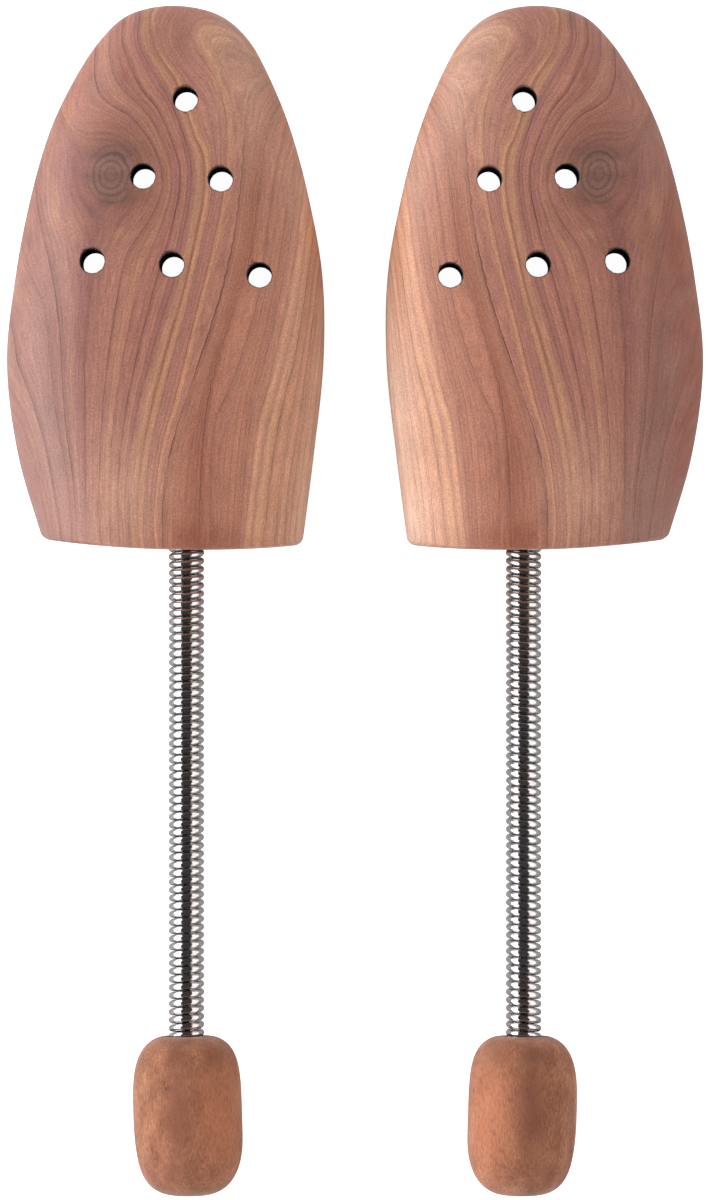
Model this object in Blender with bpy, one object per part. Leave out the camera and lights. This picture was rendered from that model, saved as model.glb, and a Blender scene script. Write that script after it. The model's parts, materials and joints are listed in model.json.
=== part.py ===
"""A pair of cedar shoe trees: toe block, coil spring and heel knob, mirrored left and right.

Blender 4.5, metres, +Z up. The pair lies on its flat soles with the toes towards +Y, the heel knobs
towards -Y and the mirror plane at X = 0. The origin is on the surface they lie on, in the middle.
Shapes are worked out in the frame of one tree: u is the distance from the spring's axis towards the
tree's outer side, y and z are as in the world.
"""

import math

import bmesh
import bpy
import numpy as np

# Toe block
BLOCK_LENGTH = 0.1444
BLOCK_WIDTH = 0.0843
BLOCK_REAR_HEIGHT = 0.0440
BLOCK_TOE_HEIGHT = 0.0180
TOE_NOSE_HEIGHT = 0.0078
TOE_CROWN_ROUND = 0.0320
TOE_SOLE_ROUND = 0.0130
SOLE_EDGE_ROUND = 0.0075
REAR_EDGE_BREAK = 0.0008
REAR_BOW = 0.0024
WIDEST_HEIGHT_SHARE = 0.35
SOLE_ROUND_LIMIT_SHARE = 0.45
REAR_BOW_START_SHARE = 0.75
REAR_BOW_CENTRE_SHARE = -0.033
CROWN_EXPONENT = 2.35
CROWN_RISE_EXPONENT = 0.85
TOE_EXPONENT = 2.2

# Outline of the block from the toe tip to the rear face, as shares of the block's width, measured from
# the spring's axis. The stations stand at equal steps of an angle from 0 to 90 degrees, and the share of
# the length at an angle is one less its cosine, so that they crowd together round the toe.
OUTER_EDGE_SHARES = (0.045, 0.178, 0.268, 0.350, 0.431, 0.492, 0.538, 0.563, 0.524, 0.430)
INNER_EDGE_SHARES = (-0.045, 0.097, 0.193, 0.264, 0.330, 0.386, 0.428, 0.430, 0.401, 0.364)

# Vent holes, drilled straight down in rows of one, two and three. Each place is a share of the block's
# length from the toe tip, then a share of its width from the spring's axis towards the outer side.
VENT_DIAMETER = 0.00635
VENT_PLACE_SHARES = (
    (0.178, 0.001),
    (0.320, 0.133),
    (0.325, -0.109),
    (0.475, 0.290),
    (0.482, 0.042),
    (0.501, -0.231),
)

# Heel knob, a turned barrel
KNOB_LENGTH = 0.0423
KNOB_DIAMETER = 0.0288
KNOB_FRONT_FLAT = 0.0013
KNOB_EXPONENT = 2.8

# Spring
WIRE_DIAMETER = 0.0016
SPRING_DIAMETER = 0.009525
SPRING_VISIBLE_LENGTH = 0.1287
BEND_STRETCH = 0.0600
TOE_SOCKET_DEPTH = 0.0140
HEEL_SOCKET_DEPTH = 0.0120

# Plugs in the spring's ends, and the brads that pin them
PLUG_INSET = 0.0020
BRAD_DIAMETER = 0.0012
BRAD_HEAD_DIAMETER = 0.0020
BRAD_HEAD_HEIGHT = 0.0006
BRAD_SINK = 0.0005
BRAD_BITE = 0.0008
BRAD_SIDE_GAP = 0.00025

# The pair, the fit between pieces, and how far a cutter stands out of what it cuts
PAIR_GAP = 0.0167
SEAT_GAP = 0.0003
CUT_OVERRUN = 0.0040

# Facets, and the unit that the spring's gap is printed in
BLOCK_STATIONS = 24
SECTION_STEPS = 8
CAP_SHARES = (0.66, 0.33)
KNOB_STEPS = 20
KNOB_SIDES = 28
BORE_SIDES = 20
PLUG_SIDES = 12
BRAD_SIDES = 10
CURL_POINTS = 8
SMOOTH_ANGLE = math.radians(35.0)
MM_PER_METRE = 1000.0

# Places worked out from the sizes above
TOTAL_LENGTH = BLOCK_LENGTH + SPRING_VISIBLE_LENGTH + KNOB_LENGTH
TOE_Y = TOTAL_LENGTH / 2.0
REAR_Y = TOE_Y - BLOCK_LENGTH
KNOB_FRONT_Y = REAR_Y - SPRING_VISIBLE_LENGTH
KNOB_BACK_Y = KNOB_FRONT_Y - KNOB_LENGTH
KNOB_RADIUS = KNOB_DIAMETER / 2.0
AXIS_Z = KNOB_RADIUS
AXIS_X = PAIR_GAP / 2.0 + max(INNER_EDGE_SHARES) * BLOCK_WIDTH
WIRE_RADIUS = WIRE_DIAMETER / 2.0
COIL_RADIUS = SPRING_DIAMETER / 2.0 - WIRE_RADIUS
BORE_RADIUS = (SPRING_DIAMETER / 2.0 + SEAT_GAP) / math.cos(math.pi / BORE_SIDES)
PLUG_RADIUS = COIL_RADIUS * math.cos(math.pi / CURL_POINTS) - WIRE_RADIUS - SEAT_GAP
BRAD_RADIUS = BRAD_DIAMETER / 2.0
BRAD_HEAD_RADIUS = BRAD_HEAD_DIAMETER / 2.0

# The spring's wire ends run straight, and its coil lies between them
WIRE_END_RUN = WIRE_DIAMETER
WIRE_END_TURN = WIRE_DIAMETER / 2.0
SPRING_TOE_Y = REAR_Y + TOE_SOCKET_DEPTH - SEAT_GAP
SPRING_HEEL_Y = KNOB_FRONT_Y - HEEL_SOCKET_DEPTH + SEAT_GAP
COIL_TOE_Y = SPRING_TOE_Y - WIRE_END_RUN - WIRE_END_TURN
COIL_HEEL_Y = SPRING_HEEL_Y + WIRE_END_RUN + WIRE_END_TURN
LEAST_PITCH = WIRE_DIAMETER + BRAD_DIAMETER + 2.0 * BRAD_SIDE_GAP
COIL_STEPS = int((COIL_TOE_Y - COIL_HEEL_Y) / LEAST_PITCH * CURL_POINTS)
PITCH = (COIL_TOE_Y - COIL_HEEL_Y) / COIL_STEPS * CURL_POINTS

# A brad passes the coil's underside half way between two turns, where the wire is on top
TOE_BRAD_TURNS = max(1, round((COIL_TOE_Y - REAR_Y) / 2.0 / PITCH))
HEEL_BRAD_TURNS = round((COIL_TOE_Y - (KNOB_FRONT_Y + COIL_HEEL_Y) / 2.0) / PITCH)
TOE_BRAD_Y = COIL_TOE_Y - TOE_BRAD_TURNS * PITCH
HEEL_BRAD_Y = COIL_TOE_Y - HEEL_BRAD_TURNS * PITCH

# The spring bends about the middle of the stretch next to the block
BEND_Y = REAR_Y - BEND_STRETCH / 2.0

# Name of each tree and the side of the mirror plane that it is on
SIDES = (("left", -1.0), ("right", 1.0))

# Colours are sRGB, as they look
CEDAR_COLOUR = (0.690, 0.475, 0.390)
KNOB_COLOUR = (0.660, 0.445, 0.335)
PLUG_COLOUR = (0.760, 0.600, 0.450)
CHROME_COLOUR = (0.830, 0.830, 0.835)
BRAD_COLOUR = (0.600, 0.590, 0.570)
CEDAR_ROUGHNESS = 0.55
KNOB_ROUGHNESS = 0.80
CHROME_ROUGHNESS = 0.12
BRAD_ROUGHNESS = 0.35


def clear_scene():
    """Remove every object that is in the scene."""
    for obj in list(bpy.data.objects):
        bpy.data.objects.remove(obj, do_unlink=True)


def linear(channel):
    """Turn one sRGB channel, 0 to 1, to linear light."""
    if channel <= 0.04045:
        return channel / 12.92
    return ((channel + 0.055) / 1.055) ** 2.4


def new_material(name, colour, roughness, metallic=0.0):
    """Make a plain material of one colour."""
    material = bpy.data.materials.new(name)
    material.use_nodes = True
    shader = material.node_tree.nodes["Principled BSDF"]
    shader.inputs["Base Color"].default_value = (*(linear(part) for part in colour), 1.0)
    shader.inputs["Roughness"].default_value = roughness
    shader.inputs["Metallic"].default_value = metallic
    return material


def loft(start, rings, end):
    """Join a start point, closed rings of equal point counts and an end point into one closed surface."""
    count = len(rings[0])
    points = [start, *(point for ring in rings for point in ring), end]
    last = len(points) - 1
    faces = []
    for step in range(count):
        beside = (step + 1) % count
        faces.append((0, 1 + beside, 1 + step))
        faces.append((last, last - count + step, last - count + beside))
        for ring in range(len(rings) - 1):
            near = 1 + ring * count
            far = near + count
            faces.append((near + step, near + beside, far + beside, far + step))
    return points, faces


def turned(profile, sides, centre, along):
    """Turn a profile of (radius, distance) pairs about an axis along "y" or "z" through centre."""
    angles = np.arange(sides) * (2.0 * math.pi / sides)
    rings = []
    for radius, distance in profile:
        across = radius * np.cos(angles)
        up = radius * np.sin(angles)
        if along == "y":
            ring = np.stack((across, np.full(sides, distance), up), axis=1)
        else:
            ring = np.stack((across, up, np.full(sides, distance)), axis=1)
        rings.append(ring + np.array(centre))
    return loft(rings[0].mean(axis=0), rings, rings[-1].mean(axis=0))


def in_world(points, side):
    """Take points of one tree's frame to the world: side is -1 for the left tree and 1 for the right."""
    world = np.array(points, dtype=float)
    world[:, 0] = side * (AXIS_X + world[:, 0])
    return world


def add_solid(name, solid, side, material, parent):
    """Make a mesh object from points in a tree's frame, with its origin at its parent empty."""
    points, faces = solid
    origin = np.array(parent.location)
    mesh = bpy.data.meshes.new(name)
    mesh.from_pydata((in_world(points, side) - origin).tolist(), [], faces)
    shape = bmesh.new()
    shape.from_mesh(mesh)
    bmesh.ops.recalc_face_normals(shape, faces=shape.faces)
    shape.to_mesh(mesh)
    shape.free()
    mesh.shade_smooth()
    mesh.set_sharp_from_angle(angle=SMOOTH_ANGLE)
    obj = bpy.data.objects.new(name, mesh)
    bpy.context.scene.collection.objects.link(obj)
    obj.parent = parent
    if material is not None:
        mesh.materials.append(material)
    return obj


def cut(obj, name, solid, side, parent):
    """Cut one closed solid, or several that don't meet, out of an object."""
    cutter = add_solid(f"{obj.name}_{name}_cutter", solid, side, None, parent)
    cutter.hide_render = True
    cutter.display_type = "WIRE"
    modifier = obj.modifiers.new(name, "BOOLEAN")
    modifier.operation = "DIFFERENCE"
    modifier.solver = "EXACT"
    modifier.object = cutter


def together(solids):
    """Put several closed surfaces into one list of points and faces."""
    points = []
    faces = []
    for some_points, some_faces in solids:
        base = len(points)
        points.extend(some_points)
        faces.extend(tuple(base + index for index in face) for face in some_faces)
    return points, faces


def add_empty(name, location):
    """Mark a joint's place, for the pieces that move about it."""
    empty = bpy.data.objects.new(name, None)
    empty.location = location
    bpy.context.scene.collection.objects.link(empty)
    return empty


def through_shares(shares, place):
    """Read a table of shares at a place from 0 to 1, on a smooth curve through its values."""
    last = len(shares) - 1
    index = min(int(place * last), last - 1)
    t = place * last - index
    here = shares[index]
    there = shares[index + 1]
    before = shares[index - 1] if index > 0 else 2.0 * here - there
    after = shares[index + 2] if index + 2 <= last else 2.0 * there - here
    rise = (there - before) / 2.0
    next_rise = (after - here) / 2.0
    return (
        here
        + rise * t
        + (3.0 * (there - here) - 2.0 * rise - next_rise) * t**2
        + (2.0 * (here - there) + rise + next_rise) * t**3
    )


def toe_round(share):
    """Rise from 0 at the toe tip to 1 where its rounding ends, as a quarter of a superellipse."""
    left_over = 1.0 - min(share, 1.0)
    return (1.0 - left_over**TOE_EXPONENT) ** (1.0 / TOE_EXPONENT)


def block_size(place):
    """Give the block's distance from the toe, edges and heights at a place from 0, toe, to 1, rear."""
    distance = BLOCK_LENGTH * (1.0 - math.cos(place * math.pi / 2.0))
    outer = BLOCK_WIDTH * through_shares(OUTER_EDGE_SHARES, place)
    inner = -BLOCK_WIDTH * through_shares(INNER_EDGE_SHARES, place)
    rise_share = (distance / BLOCK_LENGTH) ** CROWN_RISE_EXPONENT
    slope_top = BLOCK_TOE_HEIGHT + (BLOCK_REAR_HEIGHT - BLOCK_TOE_HEIGHT) * rise_share
    top = TOE_NOSE_HEIGHT + (slope_top - TOE_NOSE_HEIGHT) * toe_round(distance / TOE_CROWN_ROUND)
    bottom = TOE_NOSE_HEIGHT * (1.0 - toe_round(distance / TOE_SOLE_ROUND))
    return distance, outer, inner, bottom, top


def rear_bow(distance, across):
    """Give how far the block's rear stands back towards the toe, away from the bow's middle."""
    start = REAR_BOW_START_SHARE * BLOCK_LENGTH
    share = max(0.0, distance - start) / (BLOCK_LENGTH - start)
    from_middle = across / BLOCK_WIDTH - REAR_BOW_CENTRE_SHARE
    half_share = OUTER_EDGE_SHARES[-1]
    return REAR_BOW * share**2 * (from_middle / half_share) ** 2


def section(distance, outer, inner, bottom, top):
    """Make one ring of the block: a flat sole, a rounded lower edge and a domed crown."""
    middle = (outer + inner) / 2.0
    half = (outer - inner) / 2.0
    widest = bottom + WIDEST_HEIGHT_SHARE * (top - bottom)
    edge = min(SOLE_EDGE_ROUND, SOLE_ROUND_LIMIT_SHARE * half)
    side = []
    for step in range(SECTION_STEPS // 2):
        angle = (step * 2.0 / SECTION_STEPS - 1.0) * math.pi / 2.0
        side.append((half - edge + edge * math.cos(angle), widest + (widest - bottom) * math.sin(angle)))
    for step in range(SECTION_STEPS):
        angle = step / SECTION_STEPS * math.pi / 2.0
        across = half * math.cos(angle) ** (2.0 / CROWN_EXPONENT)
        up = (top - widest) * math.sin(angle) ** (2.0 / CROWN_EXPONENT)
        side.append((across, widest + up))
    profile = side + [(0.0, top)] + [(-across, up) for across, up in reversed(side)]
    y = TOE_Y - distance
    return np.array([(middle + across, y + rear_bow(distance, middle + across), up) for across, up in profile])


def block_solid():
    """Make the toe block from its sections, closed at the toe tip and over the rear face."""
    rings = []
    for station in range(1, BLOCK_STATIONS):
        rings.append(section(*block_size(station / BLOCK_STATIONS)))
    distance, outer, inner, bottom, top = block_size(1.0)
    rings.append(section(distance - REAR_EDGE_BREAK, outer, inner, bottom, top))
    edge = REAR_EDGE_BREAK
    rim = section(distance, outer - edge, inner + edge, bottom + edge, top - edge)
    rings.append(rim)
    centre = np.array((0.0, REAR_Y + rear_bow(distance, 0.0), AXIS_Z))
    for share in CAP_SHARES:
        ring = centre + (rim - centre) * share
        ring[:, 1] = [REAR_Y + rear_bow(distance, across) for across in ring[:, 0]]
        rings.append(ring)
    tip = (BLOCK_WIDTH * OUTER_EDGE_SHARES[0], TOE_Y, TOE_NOSE_HEIGHT)
    return loft(tip, rings, centre)


def vent_solids():
    """Make the drill's path through each vent hole."""
    radius = VENT_DIAMETER / 2.0
    profile = ((radius, -CUT_OVERRUN), (radius, BLOCK_REAR_HEIGHT + CUT_OVERRUN))
    drills = []
    for length_share, width_share in VENT_PLACE_SHARES:
        centre = (BLOCK_WIDTH * width_share, TOE_Y - BLOCK_LENGTH * length_share, 0.0)
        drills.append(turned(profile, BORE_SIDES, centre, "z"))
    return together(drills)


def socket_solid(mouth_y, bottom_y):
    """Make the bore for one end of the spring, from its mouth to its flat bottom."""
    outwards = math.copysign(CUT_OVERRUN, mouth_y - bottom_y)
    profile = ((BORE_RADIUS, bottom_y), (BORE_RADIUS, mouth_y + outwards))
    return turned(profile, BORE_SIDES, (0.0, 0.0, AXIS_Z), "y")


def brad_profile(underside, gap, overrun):
    """Profile of a brad from its head, sunk in the underside, to its tip in the plug."""
    head_top = underside + BRAD_SINK + BRAD_HEAD_HEIGHT + gap
    return (
        (BRAD_HEAD_RADIUS + gap, underside + BRAD_SINK - overrun),
        (BRAD_HEAD_RADIUS + gap, head_top),
        (BRAD_RADIUS + gap, head_top),
        (BRAD_RADIUS + gap, AXIS_Z + BRAD_BITE + gap),
    )


def brad_solid(y, underside, gap=0.0, overrun=0.0):
    """Make a brad, or with a gap and an overrun the hole for it, standing up from the underside."""
    return turned(brad_profile(underside, gap, overrun), BRAD_SIDES, (0.0, y, 0.0), "z")


def plug_solid(bottom_y, mouth_y):
    """Make the dowel that fills the spring's end in a socket."""
    profile = ((PLUG_RADIUS, bottom_y), (PLUG_RADIUS, mouth_y))
    return turned(profile, PLUG_SIDES, (0.0, 0.0, AXIS_Z), "y")


def knob_radius(distance):
    """Give the knob's radius at a distance from its front end."""
    half = (KNOB_LENGTH + KNOB_FRONT_FLAT) / 2.0
    from_middle = abs(distance + KNOB_FRONT_FLAT - half) / half
    return KNOB_RADIUS * (1.0 - min(from_middle, 1.0) ** KNOB_EXPONENT) ** (1.0 / KNOB_EXPONENT)


def knob_solid():
    """Turn the knob's barrel, a superellipse whose end is cut flat towards the spring."""
    half = (KNOB_LENGTH + KNOB_FRONT_FLAT) / 2.0
    first = math.acos(1.0 - KNOB_FRONT_FLAT / half)
    profile = []
    for angle in np.linspace(first, math.pi, KNOB_STEPS, endpoint=False):
        distance = half - half * math.cos(angle) - KNOB_FRONT_FLAT
        profile.append((knob_radius(distance), KNOB_FRONT_Y - distance))
    points, faces = turned(profile, KNOB_SIDES, (0.0, 0.0, AXIS_Z), "y")
    points[-1] = (0.0, KNOB_BACK_Y, AXIS_Z)
    return points, faces


def spring_points():
    """Points of the wire's middle, from its toe end to its heel end.

    The coil is a helix. Each end turns out of it and then runs straight along the spring's axis.
    """
    steps = np.arange(COIL_STEPS + 1)
    angles = steps * (2.0 * math.pi / CURL_POINTS)
    coil_y = COIL_TOE_Y - steps * PITCH / CURL_POINTS
    turn = WIRE_END_TURN / COIL_RADIUS
    angles = np.concatenate(([-turn, -turn], angles, [angles[-1] + turn, angles[-1] + turn]))
    ends_toe = (SPRING_TOE_Y, SPRING_TOE_Y - WIRE_END_RUN)
    ends_heel = (SPRING_HEEL_Y + WIRE_END_RUN, SPRING_HEEL_Y)
    y = np.concatenate((ends_toe, coil_y, ends_heel))
    return np.stack((COIL_RADIUS * np.sin(angles), y, AXIS_Z + COIL_RADIUS * np.cos(angles)), axis=1)


def least_gap(points):
    """Least gap between the wire and itself, over points that are half a turn apart or more."""
    apart = np.linalg.norm(points[:, None, :] - points[None, :, :], axis=2)
    order = np.arange(len(points))
    beyond = np.abs(order[:, None] - order[None, :]) >= CURL_POINTS // 2
    return float(apart[beyond].min()) - WIRE_DIAMETER


def add_spring(name, side, material, parent):
    """Make the spring as one unbroken round wire with closed ends."""
    points = in_world(spring_points(), side) - np.array(parent.location)
    curve = bpy.data.curves.new(name, "CURVE")
    curve.dimensions = "3D"
    curve.bevel_depth = WIRE_RADIUS
    curve.bevel_resolution = 1
    curve.use_fill_caps = True
    spline = curve.splines.new("POLY")
    spline.points.add(len(points) - 1)
    for spot, point in zip(spline.points, points):
        spot.co = (*point, 1.0)
    curve.materials.append(material)
    obj = bpy.data.objects.new(name, curve)
    bpy.context.scene.collection.objects.link(obj)
    obj.parent = parent
    return obj


def add_toe_end(name, side, parent):
    """Make the toe block with the plug and the brad that hold the spring in it."""
    cedar = new_material(f"{name}_block_cedar", CEDAR_COLOUR, CEDAR_ROUGHNESS)
    block = add_solid(f"{name}_toe_block", block_solid(), side, cedar, parent)
    cut(block, "vents", vent_solids(), side, parent)
    cut(block, "socket", socket_solid(REAR_Y, REAR_Y + TOE_SOCKET_DEPTH), side, parent)
    brad_hole = brad_solid(TOE_BRAD_Y, 0.0, SEAT_GAP, CUT_OVERRUN)
    cut(block, "brad_hole", brad_hole, side, parent)

    wood = new_material(f"{name}_toe_plug_wood", PLUG_COLOUR, CEDAR_ROUGHNESS)
    plug_back = REAR_Y + PLUG_INSET
    plug = add_solid(f"{name}_toe_plug", plug_solid(SPRING_TOE_Y, plug_back), side, wood, parent)
    cut(plug, "brad_hole", brad_hole, side, parent)

    steel = new_material(f"{name}_toe_brad_steel", BRAD_COLOUR, BRAD_ROUGHNESS, 1.0)
    add_solid(f"{name}_toe_brad", brad_solid(TOE_BRAD_Y, 0.0), side, steel, parent)


def add_heel_end(name, side, parent):
    """Make the heel knob with the plug and the brad that hold the spring in it."""
    cedar = new_material(f"{name}_knob_cedar", KNOB_COLOUR, KNOB_ROUGHNESS)
    knob = add_solid(f"{name}_heel_knob", knob_solid(), side, cedar, parent)
    cut(knob, "socket", socket_solid(KNOB_FRONT_Y, KNOB_FRONT_Y - HEEL_SOCKET_DEPTH), side, parent)
    underside = AXIS_Z - knob_radius(KNOB_FRONT_Y - HEEL_BRAD_Y)
    brad_hole = brad_solid(HEEL_BRAD_Y, underside, SEAT_GAP, CUT_OVERRUN)
    cut(knob, "brad_hole", brad_hole, side, parent)

    wood = new_material(f"{name}_heel_plug_wood", PLUG_COLOUR, CEDAR_ROUGHNESS)
    plug_front = KNOB_FRONT_Y - PLUG_INSET
    plug = add_solid(f"{name}_heel_plug", plug_solid(SPRING_HEEL_Y, plug_front), side, wood, parent)
    cut(plug, "brad_hole", brad_hole, side, parent)

    steel = new_material(f"{name}_heel_brad_steel", BRAD_COLOUR, BRAD_ROUGHNESS, 1.0)
    add_solid(f"{name}_heel_brad", brad_solid(HEEL_BRAD_Y, underside), side, steel, parent)


def add_tree(name, side):
    """Make one tree: the toe end stands still, the spring bends and the heel end slides on it."""
    axis_x = side * AXIS_X
    toe_place = add_empty(f"{name}_toe_place", (axis_x, REAR_Y, 0.0))
    bend_place = add_empty(f"{name}_bend_axis", (axis_x, BEND_Y, AXIS_Z))
    slide_place = add_empty(f"{name}_slide_axis", (axis_x, KNOB_FRONT_Y, AXIS_Z))
    add_toe_end(name, side, toe_place)
    chrome = new_material(f"{name}_spring_chrome", CHROME_COLOUR, CHROME_ROUGHNESS, 1.0)
    add_spring(f"{name}_spring", side, chrome, bend_place)
    add_heel_end(name, side, slide_place)


clear_scene()
for tree_name, tree_side in SIDES:
    add_tree(tree_name, tree_side)
turns = COIL_STEPS / CURL_POINTS
gap_mm = least_gap(spring_points()) * MM_PER_METRE
print(f"each spring has {turns:.2f} turns, and its least gap to itself is {gap_mm:.2f} mm")
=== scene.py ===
"""The looks of a pair of cedar shoe trees that lie side by side, toes up, seen from straight above.

Each tree is a solid toe block of aromatic red cedar, an open coil spring of chromed wire and a turned
cedar knob. Lengths are metres. Shapes are worked out in the frame of one tree: u runs from the
spring's axis towards the tree's outer side, y and z are the world's. Marks of the wood, and marks of
painted light and shade, are placed by pixels of the 708 x 1200 picture of the left tree, and the right
tree is its mirror image with some painted light and shade of its own.
"""

from __future__ import annotations

import json
import logging
import math
from dataclasses import dataclass, field
from enum import Enum

import bpy
import numpy as np
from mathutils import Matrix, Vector

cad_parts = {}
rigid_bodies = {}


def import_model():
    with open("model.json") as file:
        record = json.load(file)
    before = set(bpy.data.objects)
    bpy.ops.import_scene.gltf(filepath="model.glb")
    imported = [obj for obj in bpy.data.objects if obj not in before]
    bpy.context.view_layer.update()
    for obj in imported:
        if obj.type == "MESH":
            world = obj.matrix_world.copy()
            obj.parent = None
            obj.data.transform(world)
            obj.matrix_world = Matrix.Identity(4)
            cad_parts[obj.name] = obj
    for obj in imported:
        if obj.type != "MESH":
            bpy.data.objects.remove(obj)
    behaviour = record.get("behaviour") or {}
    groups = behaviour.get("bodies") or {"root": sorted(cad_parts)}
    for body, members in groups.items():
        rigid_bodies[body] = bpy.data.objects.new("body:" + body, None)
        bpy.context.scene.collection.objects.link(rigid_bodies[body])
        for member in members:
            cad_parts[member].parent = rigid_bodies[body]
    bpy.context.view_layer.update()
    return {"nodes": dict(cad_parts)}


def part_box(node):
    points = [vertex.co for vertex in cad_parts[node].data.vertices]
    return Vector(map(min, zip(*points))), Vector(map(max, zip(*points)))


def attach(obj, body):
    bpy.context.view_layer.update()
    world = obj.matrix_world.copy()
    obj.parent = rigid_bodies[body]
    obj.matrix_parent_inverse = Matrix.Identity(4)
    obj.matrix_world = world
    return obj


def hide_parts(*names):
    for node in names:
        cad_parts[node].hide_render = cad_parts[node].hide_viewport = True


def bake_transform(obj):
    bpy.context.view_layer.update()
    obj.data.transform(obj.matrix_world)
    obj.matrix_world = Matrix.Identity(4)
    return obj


LOG = logging.getLogger("shoe_trees")

# The picture: a pixel's size in the plane of the springs' axes, its middle, and the camera's distance
PIXEL = 0.0002646
PICTURE_SIZE_PX = (708.0, 1200.0)
PICTURE_MIDDLE_PX = (354.0, 600.0)
PAIR_MIDDLE_PX = 355.0
CAMERA_X = (PICTURE_MIDDLE_PX[0] - PAIR_MIDDLE_PX) * PIXEL
CAMERA_DISTANCE = 2.3

MM = 0.001
BYTE_MAX = 255.0
FULL_TURN = 2.0 * math.pi

# Short names of the shader nodes that are used often. A Map Range node takes its value as input 0 and
# maps the span from 1 to 2 onto the span from 3 to 4.
MATH = "ShaderNodeMath"
MIX = "ShaderNodeMix"
NOISE = "ShaderNodeTexNoise"
RAMP = "ShaderNodeValToRGB"
RANGE = "ShaderNodeMapRange"
MIX_A, MIX_B, MIX_OUT = 6, 7, 2


class Side(Enum):
    """The side of the mirror plane that a tree is on."""

    LEFT = -1.0
    RIGHT = 1.0

    @property
    def label(self) -> str:
        """Name of the side, which starts the names of its nodes."""
        return self.name.lower()


class Stretch(Enum):
    """A stretch of the spring: the one next to the block, which bends, and the one next to the knob."""

    FRONT = "front"
    REAR = "rear"


class Tone(Enum):
    """A tone laid on the wood in places, for stains of the wood and for painted light and shade, and its
    sRGB colour.
    """

    RED = "#93543f"
    PURPLE = "#86594f"
    TAN = "#c59169"
    PALE = "#d3a48a"
    DARK = "#684a3e"
    ROSE = "#a87263"
    CREAM = "#ecd0b8"
    RUST = "#c67c58"
    UMBER = "#5e3322"

    @property
    def layer(self) -> str:
        """Name of the mesh attribute that says how strong the tone is."""
        return f"{self.name.lower()}_mark"


@dataclass(frozen=True)
class Mark:
    """A soft oval patch of tone, used for stains of the wood and for painted light and shade: middle, half
    widths and lean in the picture, tone and strength.
    """

    x: float
    y: float
    wide: float
    high: float
    tone: Tone
    strength: float
    lean: float = 0.0


@dataclass(frozen=True)
class Place:
    """Where one tree lies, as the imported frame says."""

    side: Side
    axis_x: float
    axis_z: float
    toe_y: float
    rear_y: float
    knob_front_y: float
    knob_back_y: float

    @classmethod
    def of(cls, side: Side) -> Place:
        """Read a tree's place from the boxes of its block and its knob.

        Args:
            side: The tree to read.

        Returns:
            The place of that tree.
        """
        block_low, block_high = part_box(f"{side.label}_toe_block")
        knob_low, knob_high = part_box(f"{side.label}_heel_knob")
        axis_x = abs(knob_low.x + knob_high.x) / 2.0
        axis_z = (knob_low.z + knob_high.z) / 2.0
        return cls(side, axis_x, axis_z, block_high.y, block_low.y, knob_high.y, knob_low.y)

    def in_world(self, points: np.ndarray) -> np.ndarray:
        """Take points of the tree's frame to the world.

        Args:
            points: Array of (u, y, z).

        Returns:
            Array of (x, y, z), mirrored for the left tree.
        """
        world = np.array(points, dtype=float)
        world[:, 0] = self.side.value * (self.axis_x + world[:, 0])
        return world

    def from_world(self, points: np.ndarray) -> np.ndarray:
        """Take world points back to the tree's frame, the other way round."""
        own = np.array(points, dtype=float)
        own[:, 0] = self.side.value * own[:, 0] - self.axis_x
        return own

    def in_picture(self, points: np.ndarray) -> np.ndarray:
        """Find where the camera sees points of this tree, in pixels of the left tree's picture.

        A point that is nearer to the camera than the springs' axes is drawn larger, by the camera's
        distance over its own.

        Args:
            points: Array of (u, y, z).

        Returns:
            Array of (x, y) in pixels.
        """
        nearer = CAMERA_DISTANCE / (CAMERA_DISTANCE - (points[:, 2] - self.axis_z)) / PIXEL
        across = PICTURE_MIDDLE_PX[0] - (self.axis_x + points[:, 0] + CAMERA_X) * nearer
        down = PICTURE_MIDDLE_PX[1] - points[:, 1] * nearer
        return np.stack((across, down), axis=1)


def linear_colour(code: str) -> tuple[float, float, float, float]:
    """Turn a hex sRGB colour to linear light.

    Args:
        code: Colour such as "#a87060".

    Returns:
        Red, green, blue and an alpha of 1.
    """
    channels = np.array([int(code[start:start + 2], 16) for start in (1, 3, 5)]) / BYTE_MAX
    curved = ((channels + 0.055) / 1.055) ** 2.4
    return (*np.where(channels <= 0.04045, channels / 12.92, curved).tolist(), 1.0)


def add_node(
    tree: bpy.types.NodeTree,
    kind: str,
    inputs: dict | None = None,
    output: int | str = 0,
    stops: tuple = (),
    **settings: object,
) -> bpy.types.NodeSocket:
    """Add a shader node with its settings and links.

    Args:
        tree: The material's or world's nodes.
        kind: The node's type.
        inputs: A value or another node's socket for each input, by name or number.
        output: The output to give back.
        stops: Positions of a colour ramp, each with a hex colour, a grey value or three linear numbers.
        **settings: The node's own settings.

    Returns:
        The chosen output socket, or None where the node has none.
    """
    node = tree.nodes.new(kind)
    for name, value in settings.items():
        setattr(node, name, value)
    for key, value in (inputs or {}).items():
        if isinstance(value, bpy.types.NodeSocket):
            tree.links.new(value, node.inputs[key])
        else:
            node.inputs[key].default_value = value
    if stops:
        elements = node.color_ramp.elements
        while len(elements) > 1:
            elements.remove(elements[-1])
        for number, (position, colour) in enumerate(stops):
            element = elements[0] if number == 0 else elements.new(position)
            element.position = position
            numbers = colour if isinstance(colour, tuple) else (colour, colour, colour)
            element.color = linear_colour(colour) if isinstance(colour, str) else (*numbers, 1.0)
    return node.outputs[output] if node.outputs else None


def new_material(name: str) -> tuple[bpy.types.Material, bpy.types.NodeTree]:
    """Make a material with no nodes yet, and give it with its tree."""
    material = bpy.data.materials.new(name)
    material.use_nodes = True
    material.node_tree.nodes.clear()
    return material, material.node_tree


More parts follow.
